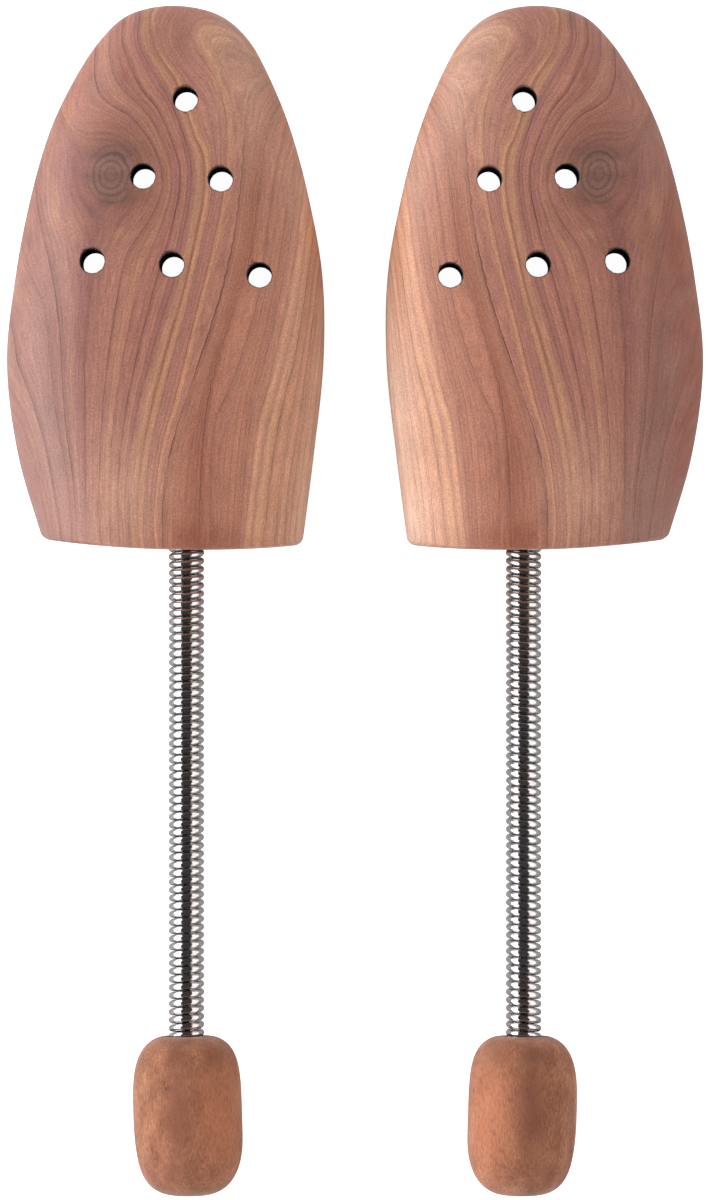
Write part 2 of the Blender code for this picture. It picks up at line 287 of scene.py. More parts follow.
def through_shares(shares: tuple[float, ...], places: np.ndarray) -> np.ndarray:
    """Read a table of shares at places from 0 to 1, on a smooth curve through its values.

    Args:
        shares: Values at even steps.
        places: Where to read them.

    Returns:
        The value at each place: a cubic between two entries, with the slopes of their neighbours.
    """
    table = np.array(shares)
    table = np.concatenate(([2.0 * table[0] - table[1]], table, [2.0 * table[-1] - table[-2]]))
    spot = np.clip(places, 0.0, 1.0) * (len(shares) - 1)
    index = np.clip(spot.astype(int), 0, len(shares) - 2)
    t = spot - index
    before, here, there, after = (table[index + step] for step in range(4))
    rise = (there - before) / 2.0
    next_rise = (after - here) / 2.0
    bend = 3.0 * (there - here) - 2.0 * rise - next_rise
    turn = 2.0 * (here - there) + rise + next_rise
    return here + rise * t + bend * t**2 + turn * t**3


def loft(start: np.ndarray, rings: np.ndarray, end: np.ndarray) -> tuple[np.ndarray, list]:
    """Join a start point, closed rings and an end point into one closed surface.

    Args:
        start: The pole before the first ring.
        rings: Array of (ring, point, 3).
        end: The pole after the last ring.

    Returns:
        The points and the faces, which point outwards where rings that turn from +u over +z follow
        each other towards -y.
    """
    count = rings.shape[1]
    points = np.vstack((start, rings.reshape(-1, 3), end))
    here = np.arange(count)
    beside = (here + 1) % count
    first = 1 + count * np.arange(rings.shape[0] - 1)[:, None]
    quads = np.stack((first + here, first + beside, first + count + beside, first + count + here), axis=-1)
    last = len(points) - 1
    faces = quads.reshape(-1, 4).tolist()
    faces += np.stack((np.zeros(count, int), 1 + beside, 1 + here), axis=1).tolist()
    faces += np.stack((last - count + here, last - count + beside, np.full(count, last)), axis=1).tolist()
    return points, faces


def new_mesh(name: str, points: np.ndarray, faces: list) -> bpy.types.Mesh:
    """Make a smooth mesh, turned so that its faces point outwards.

    Args:
        name: The mesh's name.
        points: Its points in the world.
        faces: Lists of 3 or 4 point numbers of one closed surface.

    Returns:
        The mesh.
    """
    corners = np.array([(face[0], face[1], face[2]) for face in faces])
    fourth = np.array([(face[0], face[2], face[3]) for face in faces if len(face) == 4])
    triangles = np.vstack((corners, fourth)) if len(fourth) else corners
    a, b, c = (points[triangles[:, corner]] - points.mean(axis=0) for corner in range(3))
    if np.einsum("ij,ij->i", a, np.cross(b, c)).sum() < 0.0:
        faces = [face[::-1] for face in faces]
    mesh = bpy.data.meshes.new(name)
    mesh.from_pydata(points.tolist(), [], faces)
    mesh.shade_smooth()
    return mesh


def show(name: str, mesh: bpy.types.Mesh) -> bpy.types.Object:
    """Put a mesh in the scene as an object at the origin."""
    piece = bpy.data.objects.new(name, mesh)
    bpy.context.scene.collection.objects.link(piece)
    return piece


def mesh_points(mesh: bpy.types.Mesh) -> np.ndarray:
    """Read a mesh's points as an array."""
    flat = np.zeros(len(mesh.vertices) * 3, np.float32)
    mesh.vertices.foreach_get("co", flat)
    return flat.reshape(-1, 3).astype(float)


def store(mesh: bpy.types.Mesh, name: str, values: np.ndarray) -> None:
    """Keep one number for each point of a mesh, for its material to read."""
    layer = mesh.attributes.get(name) or mesh.attributes.new(name, "FLOAT", "POINT")
    layer.data.foreach_set("value", values.astype(np.float32))


def store_marks(mesh: bpy.types.Mesh, marks: tuple[Mark, ...], seen: np.ndarray) -> None:
    """Keep the strength of each tone at each point, as bell curves round the marks' middles.

    Args:
        mesh: The mesh to write on.
        marks: The marks of this piece.
        seen: Where its points are in the picture.
    """
    for tone in Tone:
        strength = np.zeros(len(seen))
        for mark in (mark for mark in marks if mark.tone is tone):
            down = seen[:, 1] - mark.y
            across = seen[:, 0] - mark.x - mark.lean * down
            strength += mark.strength * np.exp(-((across / mark.wide) ** 2) - (down / mark.high) ** 2)
        store(mesh, tone.layer, strength)


def lay_tones(
    tree: bpy.types.NodeTree,
    colour: bpy.types.NodeSocket,
    uneven: bpy.types.NodeSocket,
) -> bpy.types.NodeSocket:
    """Lay each tone over a wood where its marks are strong.

    Args:
        tree: The material's nodes.
        colour: The wood without its marks.
        uneven: What the marks' strength is multiplied by, so that they break up along the grain.

    Returns:
        The wood with its marks.
    """
    for tone in Tone:
        mark = add_node(tree, "ShaderNodeAttribute", output="Fac", attribute_name=tone.layer)
        mark = add_node(tree, MATH, {0: mark, 1: uneven}, operation="MULTIPLY", use_clamp=True)
        over = {0: mark, MIX_A: colour, MIX_B: linear_colour(tone.value)}
        colour = add_node(tree, MIX, over, output=MIX_OUT, data_type="RGBA")
    return colour


def cut_out(mesh: bpy.types.Mesh, cutters: list[bpy.types.Mesh]) -> bpy.types.Mesh:
    """Cut closed shapes out of a mesh.

    Args:
        mesh: The closed mesh to cut.
        cutters: The closed meshes to take away.

    Returns:
        The mesh that is left, as a new one.
    """
    whole = show(mesh.name, mesh)
    tools = []
    for number, cutter in enumerate(cutters):
        tools.append(show(f"{mesh.name}_cutter_{number}", cutter))
        modifier = whole.modifiers.new(tools[-1].name, "BOOLEAN")
        modifier.operation = "DIFFERENCE"
        modifier.solver = "EXACT"
        modifier.object = tools[-1]
    graph = bpy.context.evaluated_depsgraph_get()
    result = bpy.data.meshes.new_from_object(whole.evaluated_get(graph))
    for done in (whole, *tools):
        bpy.data.objects.remove(done)
    return result


@dataclass(frozen=True)
class BlockShape:
    """The toe block's form: a flat sole, a domed crown that falls to the toe, and a bowed rear."""

    length: float = 0.1444
    width: float = 0.0843
    rear_height: float = 0.0440
    toe_height: float = 0.0180
    nose_height: float = 0.0078
    crown_round: float = 0.0320
    sole_round: float = 0.0130
    edge_round: float = 0.0075
    rear_side_round: float = 0.0021
    rear_top_round: float = 0.0008
    bow: float = 0.0024
    widest_height_share: float = 0.35
    edge_limit_share: float = 0.45
    bow_start_share: float = 0.75
    bow_middle_share: float = -0.033
    outer_exponent: float = 2.45
    inner_exponent: float = 3.30
    rise_exponent: float = 0.85
    toe_exponent: float = 2.2
    read_steps: int = 6000
    outer_shares: tuple[float, ...] = (
        0.045, 0.179, 0.269, 0.352, 0.432, 0.492, 0.538, 0.564, 0.529, 0.451,
    )
    inner_shares: tuple[float, ...] = (
        -0.045, 0.094, 0.190, 0.261, 0.329, 0.385, 0.427, 0.430, 0.400, 0.364,
    )

    def toe_rise(self, share: np.ndarray) -> np.ndarray:
        """Rise from 0 at the toe tip to 1 where its rounding ends, as a quarter of a superellipse."""
        left_over = 1.0 - np.minimum(share, 1.0)
        return (1.0 - left_over**self.toe_exponent) ** (1.0 / self.toe_exponent)

    def outline(self, distance: np.ndarray) -> tuple[np.ndarray, ...]:
        """Give the block's edges and heights.

        Args:
            distance: Distances from the toe tip.

        Returns:
            Outer edge, inner edge, underside and top at each distance.
        """
        share = np.clip(distance / self.length, 0.0, 1.0)
        place = np.arccos(1.0 - share) / (math.pi / 2.0)
        outer = self.width * through_shares(self.outer_shares, place)
        inner = -self.width * through_shares(self.inner_shares, place)
        slope = self.toe_height + (self.rear_height - self.toe_height) * share**self.rise_exponent
        top = self.nose_height + (slope - self.nose_height) * self.toe_rise(distance / self.crown_round)
        bottom = self.nose_height * (1.0 - self.toe_rise(distance / self.sole_round))
        return outer, inner, bottom, top

    def rear_bow(self, distance: np.ndarray, across: np.ndarray) -> np.ndarray:
        """Give how far the rear stands back towards the toe, away from the bow's middle."""
        start = self.bow_start_share * self.length
        share = np.maximum(0.0, distance - start) / (self.length - start)
        from_middle = across / self.width - self.bow_middle_share
        return self.bow * share**2 * (from_middle / self.outer_shares[-1]) ** 2

    def rear_rounding(self, distance: np.ndarray, radius: float) -> np.ndarray:
        """Give how far an edge of the rear face is drawn in at each distance, as a quarter circle."""
        past = np.maximum(0.0, distance - (self.length - radius))
        return radius - np.sqrt(np.maximum(0.0, radius**2 - past**2))

    def unit_crown(self, turn: np.ndarray) -> tuple[np.ndarray, np.ndarray]:
        """Give the crown's section for a half width and a height of 1.

        It is a superellipse whose exponent grows evenly from the outer side to the fuller inner side.

        Args:
            turn: Angles from 0, outer side, to pi, inner side.

        Returns:
            Places across, from 1 to -1, and heights.
        """
        exponent = self.outer_exponent + (self.inner_exponent - self.outer_exponent) * turn / math.pi
        power = 2.0 / exponent
        across = np.sign(np.cos(turn)) * np.abs(np.cos(turn)) ** power
        return across, np.sin(turn).clip(0.0) ** power

    def crown_height(self, across: np.ndarray, distance: np.ndarray) -> np.ndarray:
        """Give the height of the crown over a place, read from its section there."""
        outer, inner, bottom, top = self.outline(distance)
        half = np.maximum((outer - inner) / 2.0, MM)
        share = np.clip((across - (outer + inner) / 2.0) / half, -1.0, 1.0)
        turns = np.linspace(math.pi, 0.0, self.read_steps + 1)
        unit_across, unit_height = self.unit_crown(turns)
        widest = bottom + self.widest_height_share * (top - bottom)
        return widest + (top - widest) * np.interp(share, unit_across, unit_height)


@dataclass(frozen=True)
class Vent:
    """One drilled vent hole: its place, how far its mouth is torn towards the toe, and its chips.

    A chip is a nick in the rim: its angle from the toe's direction towards the outer side in degrees,
    its width in degrees and its length.
    """

    length_share: float
    width_share: float
    tear: float
    chips: tuple[tuple[float, float, float], ...] = ()


@dataclass(frozen=True)
class GrowthRings:
    """The growth rings that the sawn and sanded surface cuts, as a field of ring numbers.

    Each line is a ring number and places along that ring in the picture. Between the lines the field
    is the smoothest sheet that passes through them.
    """

    lines_px: tuple = (
        (1.0, ((9, 402), (20, 418), (34, 454), (43, 500), (49, 530))),
        (3.0, ((18, 364), (29, 392), (40, 428), (48, 462), (55, 500), (60, 530))),
        (5.0, ((23, 262), (40, 300), (47, 336), (52, 382), (57, 420), (64, 456), (69, 490), (71, 530))),
        (6.0, ((36, 186), (38, 206), (43, 230), (52, 270), (57, 306), (60, 340), (62, 382), (66, 430),
               (71, 470), (76, 515))),
        (7.0, ((57, 130), (54, 160), (56, 200), (64, 230), (72, 262), (75, 350), (78, 480), (80, 530))),
        (8.0, ((80, 165), (82, 192), (92, 212), (95, 235), (91, 280), (86, 320), (83, 360), (84, 400),
               (85, 480), (86, 540))),
        (9.0, ((78, 72), (72, 98), (73, 118), (84, 123), (100, 121), (124, 130), (142, 150), (149, 172),
               (146, 200), (131, 222), (115, 245), (106, 280), (97, 370), (92, 420), (91, 480), (92, 535))),
        (10.0, ((95, 52), (94, 74), (100, 95), (112, 107), (126, 114), (142, 130), (155, 152), (162, 175),
                (160, 196), (147, 222), (130, 248), (121, 275), (109, 345), (103, 400), (99.6, 450),
                (99, 500), (101, 540))),
        (11.5, ((108, 38), (108, 60), (116, 84), (128, 97), (144, 112), (158, 135), (168, 160), (169, 190),
                (160, 225), (147, 255), (128, 320), (114, 400), (109, 450), (108, 500), (109, 540))),
        (13.0, ((123, 22), (122, 42), (128, 60), (133, 72), (141, 90), (150, 100), (159, 112), (167, 130),
                (174, 148), (179, 164), (180, 182), (177, 204), (169, 238), (158, 272), (148, 310),
                (138, 350), (128, 400), (121, 450), (118, 500), (119.6, 545))),
        (15.0, ((139, 18), (137, 32), (140, 48), (147, 62), (156, 78), (166, 95), (176, 115), (183, 134),
                (189, 156), (190, 182), (187, 210), (182, 236), (172, 285), (160, 320), (149, 360),
                (138, 400), (128, 460), (127, 500), (129, 545))),
        (17.5, ((153, 16), (154, 32), (159, 50), (169, 65), (179, 80), (188, 108), (197, 136), (206, 152),
                (208, 174), (206, 200), (200, 230), (184, 300), (170, 350), (159, 392), (148, 440),
                (142, 480), (139.6, 520), (141.5, 546))),
        (18.1, ((163, 14), (159, 28), (164, 50), (173, 65), (184, 80), (196, 104), (206, 130), (212, 152),
                (213, 176), (211, 200), (205, 230), (189, 300), (175, 350), (164, 392), (153, 440),
                (146.5, 480), (144, 520))),
        (20.0, ((252, 51), (240, 38), (226, 27), (212, 23), (199, 24), (193, 31), (197, 43), (204, 58),
                (214, 74), (222, 92), (227, 112), (228, 134), (226, 165), (223, 196), (215, 236),
                (206, 275), (197, 310), (185, 360), (175, 400), (163, 440), (156.5, 480), (153.5, 520))),
        (20.55, ((262, 66), (246, 52), (229, 42), (216, 42), (216, 60), (222, 80), (229, 104), (232, 134),
                 (230, 165), (227, 196), (219, 236), (210, 275), (201, 310), (189, 360), (179, 400),
                 (167, 440), (160, 480), (157, 520), (158.5, 547))),
        (20.8, ((266, 72), (250, 66), (240, 72), (237, 92), (238, 120), (239, 150), (236, 190), (229, 236),
                (219, 275), (205, 320))),
        (21.0, ((269, 76), (258, 79), (251, 88), (247, 110), (245, 140), (242, 180), (237, 220), (226, 275),
                (213, 320), (196, 370), (181, 415), (169, 460), (163.5, 500), (162, 545))),
        (23.5, ((276, 90), (264, 106), (257, 130), (253, 165), (249, 200), (244, 240), (237, 272),
                (224, 320), (209, 370), (195, 415), (185, 460), (181, 500), (180, 545))),
        (26.0, ((279, 103), (269, 122), (263, 148), (259, 180), (255, 208), (251, 240), (246, 266),
                (234, 300), (218, 350), (208, 390), (203, 440), (200, 490), (198, 545))),
        (27.3, ((284, 120), (277, 142), (272, 166), (267, 200), (262, 235), (257, 275), (250, 310),
                (239, 348), (227, 380), (215, 407), (208, 440), (206, 490), (205, 545))),
        (28.5, ((291, 140), (283, 170), (278, 200), (273, 240), (268, 275), (261, 310), (250, 350),
                (237, 390), (227, 440), (222, 490), (219, 545))),
        (31.0, ((300, 165), (293, 200), (288, 240), (281, 275), (274, 310), (265, 350), (254, 390),
                (247, 430), (242, 480), (238, 540))),
        (32.3, ((306, 192), (302, 222), (298, 258), (293, 290), (286, 325), (279, 355), (271, 390),
                (260, 430), (253, 480), (248, 520), (245, 545))),
        (34.0, ((312, 225), (307, 260), (302, 300), (296, 335), (290, 365), (280, 400), (272, 440),
                (266, 480), (262, 515), (258, 545))),
        (36.5, ((318, 270), (312, 320), (306, 365), (300, 410), (293, 450), (287, 490), (283, 540))),
        (39.0, ((323, 320), (318, 370), (312, 430), (305, 490), (299, 538))),
    )
    line_step_px: float = 16.0
    grid_step_px: float = 3.0
    reach_px: tuple[float, float] = (336.0, 558.0)
    unit_px: float = 100.0
    slack: float = 0.002
    least_slope: float = 0.02
    curve_steps: int = 12

    def along(self, places: tuple) -> np.ndarray:
        """Find even places on a smooth curve through some places.

        Args:
            places: Places along one line.

        Returns:
            Places about one line step apart, on cubics with the slopes of the neighbours.
        """
        spots = np.array(places, dtype=float)
        turns = np.linspace(0.0, 1.0, (len(spots) - 1) * self.curve_steps + 1)
        curve = np.stack([through_shares(tuple(spots[:, axis]), turns) for axis in range(2)], axis=1)
        run = np.concatenate(([0.0], np.cumsum(np.linalg.norm(np.diff(curve, axis=0), axis=1))))
        at = np.linspace(0.0, run[-1], max(2, round(run[-1] / self.line_step_px) + 1))
        return np.stack([np.interp(at, run, curve[:, axis]) for axis in range(2)], axis=1)

    def bending(self, a: np.ndarray, b: np.ndarray) -> np.ndarray:
        """Give the thin plate's kernel r^2 log r between two sets of places."""
        squared = ((a[:, None, :] - b[None, :, :]) ** 2).sum(axis=2)
        return 0.5 * squared * np.log(squared + 1e-12)

    def sheet(self) -> np.ndarray:
        """Solve the thin plate through all lines and read it on an even grid.

        Returns:
            Ring numbers on a grid of (row, column), one grid step apart.
        """
        curves = [self.along(places) for _, places in self.lines_px]
        spots = np.vstack(curves) / self.unit_px
        numbers = [number for number, _ in self.lines_px]
        rings = np.repeat(numbers, [len(curve) for curve in curves])
        count = len(spots)
        flat = np.hstack((np.ones((count, 1)), spots))
        matrix = np.zeros((count + 3, count + 3))
        matrix[:count, :count] = self.bending(spots, spots) + self.slack * np.eye(count)
        matrix[:count, count:] = flat
        matrix[count:, :count] = flat.T
        weights = np.linalg.solve(matrix, np.concatenate((rings, np.zeros(3))))
        columns = np.arange(0.0, self.reach_px[0], self.grid_step_px)
        rows = np.arange(0.0, self.reach_px[1], self.grid_step_px)
        sheet = np.zeros((len(rows), len(columns)))
        for number, row in enumerate(rows):
            places = np.stack((columns, np.full(len(columns), row)), axis=1) / self.unit_px
            tilt = np.hstack((np.ones((len(places), 1)), places))
            sheet[number] = self.bending(places, spots) @ weights[:count] + tilt @ weights[count:]
        return sheet

    def spacing(self, sheet: np.ndarray, seen: np.ndarray) -> np.ndarray:
        """Give the width of a ring at places of the picture, from the field's slope over one pixel."""
        here = self.at(sheet, seen)
        across = self.at(sheet, seen + np.array((1.0, 0.0))) - here
        down = self.at(sheet, seen + np.array((0.0, 1.0))) - here
        return PIXEL / np.maximum(np.hypot(across, down), self.least_slope)

    def at(self, sheet: np.ndarray, seen: np.ndarray) -> np.ndarray:
        """Read the ring number at places of the picture, on cubics through the grid.

        Args:
            sheet: The solved field.
            seen: Array of (x, y) in pixels.

        Returns:
            The ring number at each place.
        """
        spot = seen[:, ::-1] / self.grid_step_px
        index = np.clip(spot.astype(int), 1, np.array(sheet.shape) - 3)
        t = spot - index
        total = np.zeros(len(seen))
        for row in range(4):
            for column in range(4):
                share = self.cubic(t[:, 0], row) * self.cubic(t[:, 1], column)
                total += share * sheet[index[:, 0] + row - 1, index[:, 1] + column - 1]
        return total

    @staticmethod
    def cubic(t: np.ndarray, number: int) -> np.ndarray:
        """Give the share of one of four neighbours in the cubic between the middle two."""
        shares = (
            -0.5 * t + t**2 - 0.5 * t**3,
            1.0 - 2.5 * t**2 + 1.5 * t**3,
            0.5 * t + 2.0 * t**2 - 1.5 * t**3,
            -0.5 * t**2 + 0.5 * t**3,
        )
        return shares[number]


@dataclass(frozen=True)
class CedarFinish:
    """Aromatic red cedar, planed and sanded but not varnished.

    To the eye it is satin and pink brown, with thin dark late wood lines, tan and yellow streaks, and
    fibres that run along the rings. Real fibres are about 0.04 mm wide, too fine to show, so fibres and
    specks are drawn several times as coarse.
    """

    name: str = "raw_sanded_red_cedar"
    half_rings: float = 20.0
    # Early wood by ring number: pinkish rings at the outer side, rose brown ones over the crown with
    # two honey streaks, and paler sapwood at the inner side
    first_bands: tuple = (
        (0.0, "#996e62"), (2.6, "#9f7466"), (3.1, "#966c60"), (3.9, "#a17466"), (5.1, "#986b5e"),
        (5.7, "#9c6c5e"), (6.7, "#a67666"), (7.3, "#a26e63"), (7.95, "#935f55"), (8.3, "#a36d5e"),
        (9.2, "#ab7463"), (10.3, "#a97262"), (11.2, "#b78167"), (11.6, "#ab7463"), (12.9, "#a97062"),
        (13.6, "#ba7f6a"), (14.2, "#ae7767"), (14.8, "#a87064"), (15.3, "#a97365"), (15.8, "#b57f69"),
        (16.4, "#be8b6c"), (16.9, "#a9755d"), (17.15, "#ae7962"), (17.4, "#c9926e"), (17.62, "#c28b6c"),
        (17.85, "#b47d66"), (18.8, "#af776a"), (20.0, "#b17864"),
    )
    second_bands: tuple = (
        (0.0, "#b17864"), (0.12, "#be8669"), (0.3, "#c9906e"), (0.42, "#bc8468"), (0.7, "#b17867"),
        (1.1, "#b37a65"), (1.4, "#b67d67"), (3.8, "#b3765f"), (5.5, "#af715b"), (6.3, "#b37660"),
        (7.4, "#bb7f67"), (7.8, "#b47a64"), (8.2, "#ba7f69"), (9.6, "#bf8369"), (10.2, "#bd8168"),
        (11.1, "#ba7f69"), (11.6, "#c3886f"), (12.05, "#c4896e"), (12.35, "#d9a07e"), (12.9, "#ce9478"),
        (13.3, "#cd9376"), (13.7, "#d7a17c"), (14.2, "#ce9574"), (14.5, "#c88d6c"), (14.9, "#d09676"),
        (15.6, "#ca9071"), (16.2, "#d19a7d"), (16.7, "#ca957a"), (18.0, "#d3a48a"), (20.0, "#ddb39b"),
    )
    # Late wood: the ring number where each dark line starts, how dark it is, and how far it fades
    # towards the next ring, in millimetres
    first_lines: tuple = (
        (0.0, 0.0, 1.0), (0.6, 0.15, 1.0), (1.6, 0.12, 1.0), (2.95, 0.3, 1.5), (4.0, 0.12, 1.0),
        (4.97, 0.3, 1.5), (5.93, 0.42, 1.8), (7.0, 0.15, 1.5), (8.0, 0.38, 1.0), (9.0, 0.12, 1.0),
        (10.0, 0.4, 1.0), (10.75, 0.1, 0.8), (11.57, 0.3, 0.8), (12.3, 0.1, 0.8), (12.9, 0.6, 1.5),
        (13.7, 0.1, 0.8), (14.35, 0.22, 1.5), (14.95, 0.35, 1.5), (15.6, 0.1, 0.8), (16.15, 0.1, 0.8),
        (16.9, 0.28, 0.8), (17.98, 0.3, 1.2), (18.5, 0.12, 0.8), (19.1, 0.12, 0.8), (19.82, 0.28, 0.8),
    )
    second_lines: tuple = (
        (0.0, 0.0, 1.0), (0.98, 0.55, 2.0), (1.6, 0.1, 0.8), (2.3, 0.12, 1.0), (3.1, 0.12, 1.0),
        (3.9, 0.14, 1.0), (4.6, 0.18, 1.2), (5.3, 0.22, 1.5), (6.0, 0.42, 1.8), (6.8, 0.12, 0.8),
        (7.65, 0.22, 1.0), (8.5, 0.14, 1.0), (9.2, 0.12, 1.0), (10.0, 0.18, 1.2), (10.7, 0.1, 0.8),
        (11.15, 0.2, 1.0), (11.95, 0.12, 0.5), (13.0, 0.14, 1.0), (14.35, 0.28, 1.5), (15.5, 0.2, 1.2),
        (16.5, 0.22, 1.5), (17.2, 0.22, 1.2), (18.1, 0.15, 1.0), (19.0, 0.15, 1.0),
    )
    ring_limit: float = 40.0
    fade_limit: float = 10.0
    line_colour: str = "#5f372d"
    line_rise: float = 0.00008
    line_core: float = 0.00020
    line_width: float = 0.00048
    tail_strength: float = 0.55
    line_strength: float = 1.9
    # The rings waver twice: by width in rings, by length, and by how far a ring moves
    wavers: tuple = ((2.2, 0.024, 0.10), (0.5, 0.007, 0.035))
    break_width_share: float = 0.8
    break_length: float = 0.012
    mark_grain_width_share: float = 0.6
    mark_grain_length: float = 0.009
    fibre_width_share: float = 0.11
    fibre_length: float = 0.0060
    streak_width_share: float = 0.40
    streak_length: float = 0.0450
    mottle_size: float = 0.0110
    speck_size: float = 0.00045
    fibre_reach: float = 0.22
    streak_reach: float = 0.12
    mottle_reach: float = 0.07
    speck_reach: float = 0.24
    knot_ring_count: float = 4.5
    knot_colour: str = "#846054"
    knot_line_colour: str = "#5a3e37"
    knot_strength: float = 0.9
    knot_waver: float = 0.16
    knot_waver_size: float = 0.0060
    # Vent walls and rims are painted near black: painted shade down the holes, scorch from the drill at the
    # rims
    burnt_colour: str = "#1c1410"
    burnt_rim: float = 0.0001
    burnt_fade: float = 0.0004
    roughness: float = 0.5
    fibre_gloss: float = 0.06
    fibre_dullness: float = 0.10
    burnt_roughness: float = 0.9
    fuzz_weight: float = 0.18
    fuzz_roughness: float = 0.45
    fibre_relief: float = 0.00004

    def halves(
        self,
        tree: bpy.types.NodeTree,
        ring: bpy.types.NodeSocket,
        first: tuple,
        second: tuple,
        kind: str,
    ) -> bpy.types.NodeSocket:
        """Read a table over the rings, kept in two ramps so that its bands stay crisp.

        Args:
            tree: The material's nodes.
            ring: The ring number.
            first: Stops of the first half, by ring number.
            second: Stops of the second half, counted from its start.
            kind: How the ramps pass from stop to stop.

        Returns:
            The colour socket.
        """
        colours = []
        for start, stops in ((0.0, first), (self.half_rings, second)):
            shifted = add_node(tree, MATH, {0: ring, 1: start}, operation="SUBTRACT")
            share = add_node(tree, MATH, {0: shifted, 1: self.half_rings}, operation="DIVIDE")
            even = tuple((position / self.half_rings, colour) for position, colour in stops)
            colour = add_node(tree, RAMP, {0: share}, stops=even)
            colour.node.color_ramp.interpolation = kind
            colours.append(colour)
        beyond = add_node(tree, MATH, {0: ring, 1: self.half_rings}, operation="GREATER_THAN")
        mixed = {0: beyond, MIX_A: colours[0], MIX_B: colours[1]}
        return add_node(tree, MIX, mixed, output=MIX_OUT, data_type="RGBA")

    def grain_noise(
        self, tree: bpy.types.NodeTree, width: float, length: float, detail: float
    ) -> bpy.types.NodeSocket:
        """Add noise that is drawn out along the rings.

        Args:
            tree: The material's nodes.
            width: Width of its streaks, as a share of a ring.
            length: Their length.
            detail: How many finer layers it has.

        Returns:
            The noise from 0 to 1.
        """
        steps = {}
        for axis, (layer, size) in enumerate((("ring", width), ("along", length), ("depth", length))):
            value = add_node(tree, "ShaderNodeAttribute", output="Fac", attribute_name=layer)
            steps[axis] = add_node(tree, MATH, {0: value, 1: size}, operation="DIVIDE")
        place = add_node(tree, "ShaderNodeCombineXYZ", steps)
        return add_node(tree, NOISE, {"Vector": place, "Scale": 1.0, "Detail": detail})

    def late_wood(
        self, tree: bpy.types.NodeTree, ring: bpy.types.NodeSocket
    ) -> bpy.types.NodeSocket:
        """Make the dark lines, sharp at the side of the lower ring and fading towards the higher one.

        Two stepped ramps hold, from each line to the next, where the line starts, how dark it is and
        how far it fades, each as a share of its limit.

        Args:
            tree: The material's nodes.
            ring: The ring number with its small waver.

        Returns:
            How dark the line is, from 0 to 1.
        """
        tables = []
        for base, lines in ((0.0, self.first_lines), (self.half_rings, self.second_lines)):
            tables.append(tuple(
                (start, ((base + start) / self.ring_limit, dark, fade / self.fade_limit))
                for start, dark, fade in lines
            ))
        line = self.halves(tree, ring, tables[0], tables[1], "CONSTANT")
        parts = add_node(tree, "ShaderNodeSeparateColor", {0: line}).node.outputs
        start = add_node(tree, MATH, {0: parts[0], 1: self.ring_limit}, operation="MULTIPLY")
        fade = add_node(tree, MATH, {0: parts[2], 1: self.fade_limit * MM}, operation="MULTIPLY")
        rings = add_node(tree, MATH, {0: ring, 1: start}, operation="SUBTRACT")
        spacing = add_node(tree, "ShaderNodeAttribute", output="Fac", attribute_name="spacing")
        past = add_node(tree, MATH, {0: rings, 1: spacing}, operation="MULTIPLY")
        rise = {0: past, 1: 0.0, 2: self.line_rise, 3: 0.0, 4: 1.0}
        rise = add_node(tree, RANGE, rise, interpolation_type="SMOOTHSTEP")
        core = {0: past, 1: self.line_core, 2: self.line_width, 3: 1.0, 4: 0.0}
        core = add_node(tree, RANGE, core, interpolation_type="SMOOTHSTEP")
        tail = add_node(tree, RANGE, {0: past, 1: 0.0, 2: fade, 3: self.tail_strength, 4: 0.0})
        both = add_node(tree, MATH, {0: core, 1: tail}, operation="MAXIMUM")
        both = add_node(tree, MATH, {0: both, 1: rise}, operation="MULTIPLY")
        both = add_node(tree, MATH, {0: both, 1: self.line_strength}, operation="MULTIPLY")
        return add_node(tree, MATH, {0: both, 1: parts[1]}, operation="MULTIPLY")

    def knot_tone(
        self, tree: bpy.types.NodeTree, colour: bpy.types.NodeSocket
    ) -> bpy.types.NodeSocket:
        """Lay the knot's own rings over the wood, fading out at its rim.

        Args:
            tree: The material's nodes.
            colour: The wood without the knot.

        Returns:
            The wood with the knot.
        """
        knot = add_node(tree, "ShaderNodeAttribute", output="Fac", attribute_name="knot")
        place = add_node(tree, "ShaderNodeTexCoord", output="Object")
        fuzz = add_node(tree, NOISE, {"Vector": place, "Scale": 1.0 / self.knot_waver_size, "Detail": 4.0})
        waver = {0: fuzz, 1: 0.0, 2: 1.0, 3: -self.knot_waver, 4: self.knot_waver}
        waver = add_node(tree, RANGE, waver)
        knot = add_node(tree, MATH, {0: knot, 1: waver}, operation="ADD")
        turns = add_node(tree, MATH, {0: knot, 1: self.knot_ring_count}, operation="MULTIPLY")
        line = add_node(tree, MATH, {0: turns, 1: 0.5}, operation="PINGPONG")
        line = {0: line, 1: 0.06, 2: 0.30, 3: 0.9, 4: 0.0}
        line = add_node(tree, RANGE, line, interpolation_type="SMOOTHSTEP")
        outer = add_node(tree, RANGE, {0: knot, 1: 0.2, 2: 0.7, 3: 0.4, 4: 0.95})
        line = add_node(tree, MATH, {0: line, 1: outer}, operation="MULTIPLY")
        own = {0: line, MIX_A: linear_colour(self.knot_colour)}
        own[MIX_B] = linear_colour(self.knot_line_colour)
        own = add_node(tree, MIX, own, output=MIX_OUT, data_type="RGBA")
        inside = {0: knot, 1: 0.45, 2: 1.15, 3: self.knot_strength, 4: 0.0}
        inside = add_node(tree, RANGE, inside, interpolation_type="SMOOTHSTEP")
        over = {0: inside, MIX_A: colour, MIX_B: own}
        return add_node(tree, MIX, over, output=MIX_OUT, data_type="RGBA")

